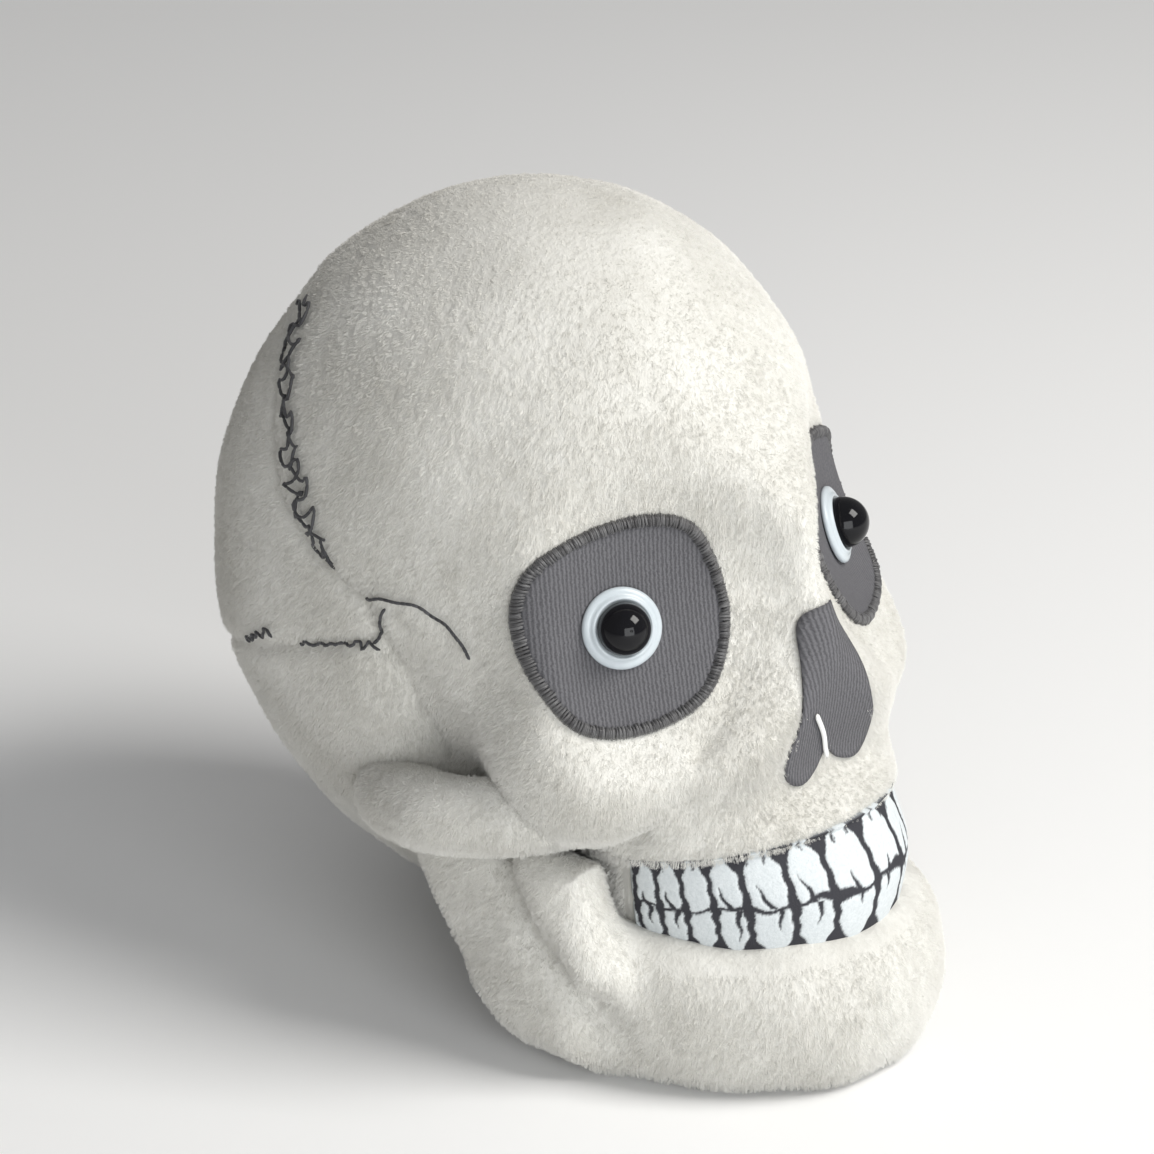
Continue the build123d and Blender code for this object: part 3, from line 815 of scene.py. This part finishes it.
def sutureLines():
    coronal = smoothLine(sutures["coronal"], 80)
    squamous = smoothLine(sutures["squamous"], 40)
    squamousRear = smoothLine(sutures["squamousRear"], 40)
    lines = {
        "coronalA": wiggle(coronal, *sutures["coronalSwing"], 0.3),
        "coronalB": wiggle(coronal + (-1.4, 1.0), *sutures["coronalSwing"], 2.6),
        "squamousA": wiggle(squamous, *sutures["squamousSwing"], 0.0),
        "squamousB": wiggle(squamousRear, *sutures["squamousSwing"], 1.0),
        "link": wiggle(smoothLine(sutures["link"], 20), *sutures["linkSwing"], 0.0),
        "temple": wiggle(smoothLine(sutures["temple"], 40), *sutures["templeSwing"], 0.0),
    }
    return {name: line + (chinY, 0) for name, line in lines.items()}


sutureFlat = sutureLines()


def sideLine(flat, side):
    # lays a side view line on one side of the head
    start = np.stack([np.full(len(flat), side * 30.0), flat[:, 0], flat[:, 1]], -1)
    return drop(headField, start, (side, 0, 0), 0.0, 45.0)


suturePaths = {name: {k: sideLine(flat, side) for k, flat in sutureFlat.items()} for name, side in sides}
print("outlines placed")


def bareCloth(p):
    # 1 where pile grows, 0 under a patch, the teeth or a stitched line
    grown = np.ones(len(p))
    for seat, normal, towardsNose, up in eyes.values():
        q = p - seat
        flat = np.stack([q @ towardsNose, q @ up], -1)
        near = (np.abs(q @ normal) < 16) & (np.abs(flat).max(1) < 27)
        if near.any():
            inside = inOutline(flat[near], patchOutline)
            grown[near] = np.minimum(grown[near], inside > -1.2)
    near = (np.abs(p[:, 0]) < 16) & (p[:, 1] < chinY + 40) & (p[:, 2] > 56)
    if near.any():
        inside = inOutline(p[near][:, [0, 2]], noseOutline)
        grown[near] = np.minimum(grown[near], inside > -0.5)
    for name, side in sides:
        for points, normals in suturePaths[name].values():
            near = (p[:, 0] * side > 10) & (p[:, 1] > chinY + 60)
            d = np.full(len(p), 9.0)
            for q in points[::2]:
                box = np.abs(p - q).max(1) < 2.5
                d[box] = np.minimum(d[box], np.linalg.norm(p[box] - q, axis=1))
            grown = np.minimum(grown, np.where(near, ramp(d, 0.5, 1.4), 1))
    height = ringHeight(p)
    band = (height > teeth["low"] + 1.0) & (height < teeth["high"] - 1.0) & (p[:, 1] < teethEndY)
    grown[band & (np.abs(p[:, 0]) < 36)] = 0
    return grown


# one printed band across the mouth; heights are at the muzzle's middle
teeth = {
    "halfWidth": 31.0,
    "halfDepth": 36.5,
    "low": 25.6,
    "high": 46.4,
    "mouth": 36.5,
    "shownLow": 28.4,
    "shownHigh": 45.6,
    "behindChin": 47.0,
    "swell": 0.9,
    "thickness": 2.2,
    "gaps": (0, 9.9, 18.0, 26.8, 33.4, 39.4, 45.0, 50.4),
    "lean": (0.02, 0.06, 0.10, 0.09, 0.07, 0.05, 0.04, 0.03),
    "spread": 108.0,
    # short strokes inside the teeth: place along the band, length up or down, slope
    "forks": ((-14.5, 4.6, 0.34), (-13.4, -4.0, -0.10), (-23.0, 4.2, 0.42), (-21.6, -4.4, 0.08),
              (-30.8, 4.4, 0.30), (-29.6, -6.0, 0.12), (-42.6, 3.6, 0.25), (-41.6, -4.2, 0.0),
              (-5.2, 3.0, 0.1), (-4.4, -2.8, 0.12), (-48.0, 3.2, 0.3), (-47.6, -4.0, 0.1)),
}
teethEndY = chinY + teeth["behindChin"]


def inkAndLipShadePattern(s, v):
    # s runs along the band from the middle, v up from the mouth line; above zero is ink: the printed teeth,
    # and a painted shadow under the lip along the top edge
    reach = np.full(s.shape, -9.0)

    def stroke(centre, halfWidth):
        np.maximum(reach, halfWidth - np.abs(s - centre), out=reach)

    top = teeth["shownHigh"] - teeth["mouth"]
    foot = teeth["mouth"] - teeth["shownLow"]
    for side in (1, -1):
        for k, gap in enumerate(teeth["gaps"]):
            if k == 0 and side < 0:
                continue
            lean = teeth["lean"][k]
            scale = 1.0 if k < 4 else 0.8
            up = np.clip(v / top, 0, 1)
            down = np.clip(-v / foot, 0, 1)
            upper = side * (gap + lean * 7) - side * lean * 9 * up
            wedge = 1.9 * np.clip(up - 0.70, 0, 1) / 0.30
            width = scale * (0.72 + wedge + 0.45 * bump(v, 1.8))
            stroke(upper + 0.18 * np.sin(v * 1.9 + k), np.where(v >= -0.3, width, -9))
            lower = side * (gap + lean * 7) - side * (0.9 + 0.15 * k) * down * 0.8
            wedge = 2.0 * np.clip(down - 0.68, 0, 1) / 0.32
            width = scale * (0.74 + wedge + 0.5 * bump(v, 1.6))
            stroke(lower + 0.18 * np.sin(v * 2.3 + 2 * k), np.where(v <= 0.3, width, -9))
    mouth = 0.30 + 0.75 * bump(np.abs(s) - 9, 4.0) + 0.25 * bump(np.abs(s) - 27, 2.5)
    wave = 0.5 * np.sin(s * 0.35) + 0.25 * np.sin(s * 0.9 + 1)
    reach = np.maximum(reach, mouth - np.abs(v - wave))
    forks = teeth["forks"]
    otherSide = tuple((-at - 0.8, length * 0.9, -slope) for at, length, slope in forks)
    for at, length, slope in forks + otherSide:
        t = np.clip(v / length, 0, 1)
        width = 0.62 * (1 - t) + 0.06
        centre = at - slope * v + 0.25 * np.sin(v * 1.7 + at)
        alongFork = (v * length > 0) & (np.abs(v) < abs(length))
        reach = np.maximum(reach, np.where(alongFork, width - np.abs(s - centre), -9))
    # painted shadow: patchy dark ink along the band's top edge, where the upper lip overhangs it
    edge = top - 1.2 - v + 0.5 * np.sin(s * 2.1) + 0.3 * np.sin(s * 5.3)
    reach = np.maximum(reach, np.where(edge < 0, -0.4 + 0.5 * np.sin(s * 1.7), -9))
    return reach


def makeTeeth():
    step = 0.26
    columns = int(teeth["spread"] / step)
    rows = int((teeth["high"] - teeth["low"]) / step)
    turn = np.linspace(-pi * 0.62, pi * 0.62, 1200) - pi / 2
    fine = np.stack([teeth["halfWidth"] * np.cos(turn), teeth["halfDepth"] * np.sin(turn)], -1)
    lengths = runLengths(fine)
    lengths -= lengths[600]
    s = np.linspace(-teeth["spread"] / 2, teeth["spread"] / 2, columns)
    around = np.interp(s, lengths, turn)
    v = np.linspace(teeth["low"], teeth["high"], rows)
    angle, level = np.meshgrid(around, v, indexing="ij")
    run, rise = np.meshgrid(s, v - teeth["mouth"], indexing="ij")
    halfWidth = np.interp(level, head["ringHeights"], head["ringHalfWidths"])
    halfDepth = np.interp(level, head["ringHeights"], head["ringHalfDepths"])
    half = (teeth["high"] - teeth["low"]) / 2
    middle = (teeth["high"] + teeth["low"]) / 2
    puff = teeth["swell"] + 0.9 * (1 - ((level - middle) / half) ** 2) - 0.35 * bump(rise, 1.2)
    ends = np.clip((teeth["spread"] / 2 - np.abs(run)) / 3.0, 0, 1)
    puff = puff * ends - 1.0 * (1 - ends)
    reach = inkAndLipShadePattern(run, rise)
    puff -= 0.25 * np.clip(reach + 0.5, 0, 0.8)
    x = (halfWidth + puff) * np.cos(angle)
    y = chinY + head["muzzleMiddle"] + (halfDepth + puff) * np.sin(angle)
    z = level - (y - chinY - head["muzzleMiddle"]) * ringTilt(level)
    front = np.stack([x, y, z], -1).reshape(-1, 3)
    inward = np.stack([-np.cos(angle), -np.sin(angle), np.zeros_like(angle)], -1).reshape(-1, 3)
    back = front + teeth["thickness"] * inward
    index = np.arange(columns * rows).reshape(columns, rows)
    quads = np.stack([index[:-1, :-1], index[1:, :-1], index[1:, 1:], index[:-1, 1:]], -1).reshape(-1, 4)
    offset = columns * rows
    rim = np.concatenate([index[:, 0], index[-1, 1:], index[-2::-1, -1], index[0, -2:0:-1]])
    following = np.roll(rim, -1)
    walls = np.stack([following, rim, rim + offset, following + offset], -1)
    faces = np.concatenate([quads, quads[:, ::-1] + offset, walls])
    piece = newMesh("teeth_band_print", np.concatenate([front, back]), faces)
    fuzz = 0.06 * draws.normal(size=reach.size)
    # this ink carries the printed teeth and the painted shadow under the lip
    ink = ramp(reach.ravel() + fuzz, -0.16, 0.16)
    layer = piece.data.attributes.new("ink", "FLOAT", "POINT")
    layer.data.foreach_set("value", np.concatenate([ink, ink * 0]).astype(np.float32))
    settle(piece, teethPrint, "skull", "teeth_band")


makeTeeth()
print("teeth made")


# flat seams of the covers: a place on each and its direction
seamPlanes = (
    (squamousFoot, squamousNormal),
    (np.array((0.0, 0.0, 0.0)), np.array((1.0, 0.0, 0.0))),
    (np.array((0.0, 0.0, 30.0)), np.array((0.0, 0.0, 1.0))),
)


def headPanel(p):
    # which cover panel a place on the head belongs to
    side = "left" if p[0] > 0 else "right"
    if p[2] < 30:
        return "base_panel"
    if coronalSide(p[None])[0] > 0:
        half = 15 + (98 - p[2]) / 68 * 21
        inMuzzle = abs(p[0]) < half and p[2] < 98 and p[1] < chinY + 60
        return "muzzle_panel" if inMuzzle else "face_panel"
    return ("crown_panel_" if (p - squamousFoot) @ squamousNormal > 0 else "temple_panel_") + side


def jawPanel(p):
    if (p - creasePoint) @ creaseNormal > 0:
        return "ramus_cover_" + ("left" if p[0] > 0 else "right")
    offset = ovalDistance(p[0], p[1] - jawPathY, jaw["halfSpacing"] - 2, jaw["pathDepth"] - 2)
    return "jaw_lining" if offset < 0 else "jaw_cover"


def archPanel(p):
    return "arch_cover_" + ("left" if p[0] > 0 else "right")


def growPile(piece, area, seed):
    # short combed strands, none where something is sewn over the cloth
    group = piece.vertex_groups.new(name="pile")
    p = np.empty(len(piece.data.vertices) * 3)
    piece.data.vertices.foreach_get("co", p)
    weights = bareCloth(p.reshape(-1, 3) / mm)
    for level in np.unique(np.round(weights, 1)):
        group.add(np.flatnonzero(np.round(weights, 1) == level).tolist(), float(level), "REPLACE")
    piece.modifiers.new("pile", "PARTICLE_SYSTEM")
    system = piece.particle_systems[-1]
    settings = system.settings
    settings.name = piece.name + "_pile"
    settings.type = "HAIR"
    settings.count = max(50, int(area * plush["parentsPerSquareMillimetre"] * (1)))
    speed = plush["pileLength"] * mm / 4  # a strand grows for four seconds
    for key, value in {
        "hair_step": 3,
        "emit_from": "FACE",
        "use_emit_random": True,
        "use_even_distribution": True,
        "distribution": "RAND",
        "use_advanced_hair": True,
        "normal_factor": plush["upright"] * speed,
        "object_align_factor": [c * speed for c in plush["comb"]],
        "factor_random": plush["scatter"] * speed,
        "child_type": "INTERPOLATED",
        "rendered_child_count": plush["children"],
        "child_percent": 1,
        "child_length": 1.0,
        "clump_factor": 0.35,
        "clump_shape": 0.2,
        "roughness_1": 0.0003,
        "roughness_1_size": 0.6,
        "roughness_2": 0.0003,
        "roughness_endpoint": 0.0002,
        "root_radius": 0.085,
        "tip_radius": 0.03,
        "radius_scale": mm,
        "material": 2,
        "render_step": 3,
        "display_step": 2,
    }.items():
        setattr(settings, key, value)
    system.seed = seed
    system.vertex_group_density = "pile"


def ontoSeam(field, verts, seam, step):
    # moves the points nearest a curved seam onto it, so that the panels part cleanly there
    near = np.abs(seam(verts)) < 0.56 * step
    moved = verts[near]
    for k in range(3):
        slope = gradient(seam, moved)
        moved = moved - seam(moved)[:, None] * slope / np.maximum((slope * slope).sum(1), 0.2)[:, None]
        moved = ontoSurface(field, moved, 1)
    verts[near] = moved
    return verts


def splitPanels(field, low, high, step, planes, panelOf, fill, seam=None):
    verts, quads = surfaceNet(field, low, high, step)
    verts = relax(field, verts, quads, 3)
    if seam:
        verts = ontoSeam(field, verts, seam, step)
    master = newMesh("master", verts, quads)
    mesh = bmesh.new()
    mesh.from_mesh(master.data)
    bpy.data.objects.remove(master)
    for point, normal in planes:
        geometry = list(mesh.verts) + list(mesh.edges) + list(mesh.faces)
        bmesh.ops.bisect_plane(mesh, geom=geometry, dist=1e-6, plane_co=Vector(point * mm),
                               plane_no=Vector(normal))
    mesh.verts.ensure_lookup_table()
    points = np.array([v.co[:] for v in mesh.verts]) / mm
    normals = unit(gradient(field, points))
    groups = {}
    for face in mesh.faces:
        middle = np.array(face.calc_center_median()) / mm
        groups.setdefault(panelOf(middle), []).append([v.index for v in face.verts])
    for index, (name, faces) in enumerate(sorted(groups.items())):
        used = np.unique(np.concatenate([np.array(f) for f in faces]))
        order = {int(v): i for i, v in enumerate(used)}
        piece = newMesh("plush_" + name, points[used], [[order[v] for v in f] for f in faces])
        data = piece.data
        data.normals_split_custom_set_from_vertices(normals[used].tolist())
        settle(piece, plushCloth, "skull", name)
        data.materials.append(plushPile)
        area = sum(f.area for f in data.polygons) / mm ** 2
        growPile(piece, area, 11 + index)
    mesh.free()


step = 1.1
headSpace = ((-62, chinY + 2, -2), (62, backY + 3, crownZ + 3))
jawSpace = ((-54, chinY - 3, -2), (54, chinY + 100, 52))
archSpaces = {
    "left": ((24, chinY + 30, 36), (62, chinY + 108, 70)),
    "right": ((-62, chinY + 30, 36), (-24, chinY + 108, 70)),
}
splitPanels(headField, *headSpace, step, seamPlanes, headPanel, 0.85, coronalSide)
print("head covered")
splitPanels(jawField, *jawSpace, step, ((creasePoint, creaseNormal),), jawPanel, 0.75)
print("jaw covered")
for name, side in sides:
    splitPanels(archField, *archSpaces[name], step * 0.8, (), archPanel, 0.8)
print("arches covered")


def patchMesh(name, outline, place, direction, lift, rings, node):
    # a sheet inside a flat outline, laid on the head; place turns flat points into space
    count = len(outline)
    middle = outline.mean(0)
    flat = [middle[None]]
    for ring in range(1, rings + 1):
        flat.append(middle + (outline - middle) * ring / rings)
    flat = np.concatenate(flat)
    points, normals = drop(headField, place(flat), direction, lift)
    faces = [[0, 1 + i, 1 + (i + 1) % count] for i in range(count)]
    for ring in range(1, rings):
        a = 1 + (ring - 1) * count
        b = a + count
        for i in range(count):
            j = (i + 1) % count
            faces.append([a + i, b + i, b + j, a + j])
    under = points - normals * patch["thickness"]
    total = len(points)
    last = 1 + (rings - 1) * count
    back = [[v + total for v in f[::-1]] for f in faces]
    edge = [(last + i, last + (i + 1) % count) for i in range(count)]
    rim = [[i, total + i, total + j, j] for i, j in edge]
    piece = newMesh(name, np.concatenate([points, under]), faces + back + rim)
    layout = piece.data.uv_layers.new(name="layout")
    both = np.concatenate([flat, flat])
    corners = np.empty(len(piece.data.loops), int)
    piece.data.loops.foreach_get("vertex_index", corners)
    layout.data.foreach_set("uv", (both[corners] * 0.1).ravel().astype(np.float32))
    settle(piece, patchCloth, "skull", node)


def threads(name, paths, radius, tones, material, node, sections=5, squash=1.0):
    # many short threads as one piece; each path is (points, normals)
    verts, faces, toneOf = [], [], []
    turn = np.arange(sections) * 2 * pi / sections
    base = 0
    for (points, normals), tone in zip(paths, tones):
        heading = unit(np.gradient(points, axis=0))
        across = unit(np.cross(heading, normals))
        rise = np.cross(across, heading)
        thickness = np.full(len(points), radius)
        thickness[[0, -1]] *= 0.5
        sideways = np.cos(turn)[None, :, None] * across[:, None]
        upwards = squash * np.sin(turn)[None, :, None] * rise[:, None]
        ring = points[:, None] + thickness[:, None, None] * (sideways + upwards)
        n = len(points)
        index = np.arange(n * sections).reshape(n, sections) + base
        wrap = np.roll(index, -1, 1)
        faces += np.stack([index[:-1], wrap[:-1], wrap[1:], index[1:]], -1).reshape(-1, 4).tolist()
        faces.append(index[0][::-1].tolist())
        faces.append(index[-1].tolist())
        verts.append(ring.reshape(-1, 3))
        toneOf.append(np.full(n * sections, tone))
        base += n * sections
    piece = newMesh(name, np.concatenate(verts), faces)
    layer = piece.data.attributes.new("stitchTone", "FLOAT", "POINT")
    layer.data.foreach_set("value", np.concatenate(toneOf).astype(np.float32))
    settle(piece, material, "skull", node)


stitching = {
    "borderPitch": 0.36,
    "borderRadius": 0.25,
    "borderRise": 1.2,
    "slant": 0.35,
}


def eyePlane(name):
    # turns flat points, counted towards the nose and up, into places on one eye's own plane
    seat, normal, towardsNose, up = eyes[name]
    return lambda flat: seat + flat[:, :1] * towardsNose + flat[:, 1:] * up


def satinBorder(name, place, normal):
    # raised satin stitch: short threads packed side by side across the patch's edge
    outer = closedCurve(patch["outline"], 1400)
    middle = outer.mean(0)
    length = np.linalg.norm(np.diff(outer, axis=0), axis=1).sum()
    count = int(length / stitching["borderPitch"])
    tangent = unit(np.roll(outer, -1, 0) - np.roll(outer, 1, 0))
    inward = np.stack([-tangent[:, 1], tangent[:, 0]], -1)
    inward *= np.sign(((middle - outer) * inward).sum(1))[:, None]
    layers = []
    tones = []
    t = np.linspace(0, 1, 7)
    for k in range(count):
        i = int(k / count * len(outer))
        width = patch["borderWidth"] * (1 + 0.06 * draws.normal())
        start = outer[i] - inward[i] * 0.10 * abs(draws.normal())
        slide = stitching["slant"] * (1 if k % 2 else 0.2) + 0.08 * draws.normal()
        flat = start + np.outer(t, inward[i] * width + tangent[i] * slide)
        rise = 0.25 + stitching["borderRise"] * np.sin(pi * t) ** 0.7 + 0.08 * draws.normal()
        layers.append((flat, rise))
        tones.append(np.clip(0.38 + 0.24 * draws.normal(), 0, 1))
    flats = np.concatenate([f for f, r in layers])
    rises = np.concatenate([r for f, r in layers])
    points, normals = drop(headField, place(flats), normal)
    points = points + normals * rises[:, None]
    paths = [(points[7 * k:7 * k + 7], normals[7 * k:7 * k + 7]) for k in range(count)]
    threads("satin_border_" + name, paths, stitching["borderRadius"], tones, borderThread,
            "eye_patch_border_" + name, sections=5)


inset = patchOutline + (patchOutline.mean(0) - patchOutline) * patch["inset"]
for name, side in sides:
    outward = eyes[name][1]
    patchMesh("socket_patch_" + name, inset, eyePlane(name), outward, patch["lift"], patch["rings"],
              "eye_patch_" + name)
    satinBorder(name, eyePlane(name), outward)


def placeNose(flat):
    return np.stack([flat[:, 0], np.full(len(flat), chinY + 30.0), flat[:, 1]], -1)


patchMesh("nose_patch_cloth", noseOutline, placeNose, (0, -1, 0), nose["lift"], nose["rings"], "nose_patch")
septum = placeNose(smoothLine(nose["septum"], 16))
septumPath = drop(headField, septum, (0, -1, 0), nose["lift"] + nose["septumLift"])
threads("nose_septum_thread", [septumPath], nose["septumRadius"], [0.8], whiteThread, "nose_stitch",
        sections=8, squash=0.6)
print("patches sewn")


def beadedThreads(paths, lift):
    # cuts each line into short overlapping stitches
    cut, tones = [], []
    for points, normals in paths:
        raised = points + normals * lift
        stitch = 4
        for i in range(0, len(points) - stitch, 3):
            piece = raised[i:i + stitch + 1].copy()
            piece += normals[i:i + stitch + 1] * (0.16 * np.sin(np.linspace(0, pi, len(piece))))[:, None]
            cut.append((piece, normals[i:i + stitch + 1]))
            tones.append(np.clip(0.4 + 0.3 * draws.normal(), 0, 1))
    return cut, tones


for name, side in sides:
    paths = suturePaths[name]
    for label, members, node in (
        ("coronal", ("coronalA", "coronalB"), "coronal_suture_"),
        ("squamous", ("squamousA", "squamousB"), "squamous_suture_"),
        ("temple", ("temple", "link"), "temple_stitch_"),
    ):
        cut, tones = beadedThreads([paths[m] for m in members], sutures["lift"])
        threads(label + "_thread_" + name, cut, sutures["threadRadius"], tones, sutureThread, node + name,
                sections=6)

closing = {
    "count": 8,
    "lowest": 37.0,
    "spacing": 4.5,
    "halfLength": 2.4,
    "slope": 0.5,
    "threadRadius": 0.35,
}
stitches = []
for k in range(closing["count"]):
    along = np.linspace(-1, 1, 9)
    height = closing["lowest"] + closing["spacing"] * k + along * closing["slope"] * (1 if k % 2 else -1)
    line = np.stack([along * closing["halfLength"], np.full(9, backY - 40), height], -1)
    stitches.append(drop(headField, line, (0, 1, 0), 0.5, 60.0))
threads("closing_thread", stitches, closing["threadRadius"], [0.5] * closing["count"], whiteThread,
        "closing_stitch", sections=6)
print("stitches made")


eye = {
    "domeRadius": 5.25,
    "domeFoot": 3.7,
    "poleRadius": 0.004,
    "domeBase": ((0.3, 2.85), (4.9, 2.85), (5.2, 3.0)),
    # radius, rise above the seat
    "ring": ((2.2, 1.35), (7.4, 1.35), (7.9, 1.55), (8.05, 1.95), (7.9, 2.4), (7.4, 2.72), (6.9, 2.82),
             (6.6, 2.86), (6.35, 3.15), (6.1, 3.36), (5.8, 3.40), (5.55, 3.25), (5.45, 2.9), (2.2, 2.8)),
}


def lathe(name, profile, seat, normal, across, up, count=96):
    # turns a profile about the eye's axis, set as deep as the socket
    profile = np.array(profile, float) - (0, socket["depth"])
    turn = np.arange(count) * 2 * pi / count
    radial = np.cos(turn)[:, None] * across + np.sin(turn)[:, None] * up
    verts = seat + profile[None, :, :1] * radial[:, None] + profile[None, :, 1:] * normal
    n = len(profile)
    index = np.arange(count * n).reshape(count, n)
    ahead = np.roll(index, -1, 0)
    faces = np.stack([index[:, :-1], ahead[:, :-1], ahead[:, 1:], index[:, 1:]], -1).reshape(-1, 4).tolist()
    faces += np.stack([index[:, -1], ahead[:, -1], ahead[:, 0], index[:, 0]], -1).tolist()
    return newMesh(name, verts.reshape(-1, 3), faces)


for name, side in sides:
    seat, normal, towardsNose, up = eyes[name]
    across = np.cross(up, normal)
    angles = np.linspace(0, pi / 2, 22)
    radius, foot = eye["domeRadius"], eye["domeFoot"]
    dome = list(eye["domeBase"])
    dome += [(max(radius * cos(a), eye["poleRadius"]), foot + radius * sin(a)) for a in angles]
    ball = lathe("eye_dome_" + name, dome, seat, normal, across, up)
    settle(ball, eyeBlack, "eye_" + name, "eye_" + name)
    ring = lathe("eye_iris_ring_" + name, eye["ring"], seat, normal, across, up)
    settle(ring, eyeWhite, "eye_" + name, "eye_ring_" + name)
    washer = frame["nodes"]["eye_washer_" + name]
    washer.data.materials.clear()
    washer.data.materials.append(washerWhite)
print("eyes made")


def stuffing(name, field, low, high, step, node, depth):
    # fibre that stays a depth inside the cover
    verts, quads = surfaceNet(lambda p: field(p) + depth, low, high, step)
    piece = newMesh(name, verts, quads)
    settle(piece, fibre, "skull", node)


fibre = plushMaterial("stuffingFibre", (0.93, 0.93, 0.92, 1), (0.80, 0.80, 0.79, 1), 0.95, 1.0)
stuffing("head_fill", headField, *headSpace, 4.0, "head_stuffing", 6.0)
stuffing("jaw_fill", jawField, *jawSpace, 3.0, "jaw_stuffing", 2.5)
for name, side in sides:
    stuffing("arch_fill_" + name, archField, *archSpaces[name], 3.0, "arch_stuffing_" + name, 2.5)
print("stuffing made")


studio = {
    "azimuth": -48.0,
    "elevation": 25.0,
    "distance": 0.900,
    "lens": 137.2,
    "aim": (0.0, 0.001, 0.080),
    "aimRise": 0.00266,
    "world": 0.26,
    "floor": (0.93, 0.93, 0.93, 1),
    "target": (0, 0, 0.08),
    # each light: place, size, power, colour
    "keyLight": ((0.32, -0.72, 0.96), 0.55, 12.0, (1.0, 0.985, 0.955)),
    "fillLight": ((-0.52, -1.00, 0.24), 0.8, 8.2, (0.96, 0.985, 1.0)),
}


def areaLight(name):
    place, size, power, colour = studio[name]
    light = bpy.data.lights.new(name, "AREA")
    light.size = size
    light.energy = power
    light.color = colour
    obj = bpy.data.objects.new(name, light)
    bpy.context.scene.collection.objects.link(obj)
    obj.location = place
    aim = Vector(studio["target"]) - Vector(place)
    obj.rotation_euler = aim.to_track_quat("-Z", "Y").to_euler()


def makeStudio():
    a, e = radians(studio["azimuth"]), radians(studio["elevation"])
    back = Vector((sin(a) * cos(e), -cos(a) * cos(e), sin(e)))
    right = Vector((cos(a), sin(a), 0))
    up = back.cross(right)
    aim = Vector(studio["aim"]) + up * studio["aimRise"]
    camera = bpy.data.objects.new("camera", bpy.data.cameras.new("camera"))
    camera.data.lens = studio["lens"]
    camera.data.sensor_width = 36
    camera.data.clip_end = 20
    camera.location = aim + back * studio["distance"]
    camera.rotation_euler = back.to_track_quat("Z", "Y").to_euler()
    bpy.context.scene.collection.objects.link(camera)
    bpy.context.scene.camera = camera
    bpy.ops.mesh.primitive_plane_add(size=12, location=(0, 0, 0))
    floor = bpy.context.object
    floor.name = "floor"
    material, tree, shader = nodeTree("floorPaper")
    shader.inputs["Base Color"].default_value = studio["floor"]
    shader.inputs["Roughness"].default_value = 0.9
    floor.data.materials.append(material)
    world = bpy.data.worlds.new("studioWorld")
    world.use_nodes = True
    sky = world.node_tree.nodes["Background"].inputs
    sky["Color"].default_value = (1, 1, 1, 1)
    sky["Strength"].default_value = studio["world"]
    bpy.context.scene.world = world
    areaLight("keyLight")
    areaLight("fillLight")
    bpy.context.scene.view_settings.view_transform = "Standard"


makeStudio()
print("studio made")
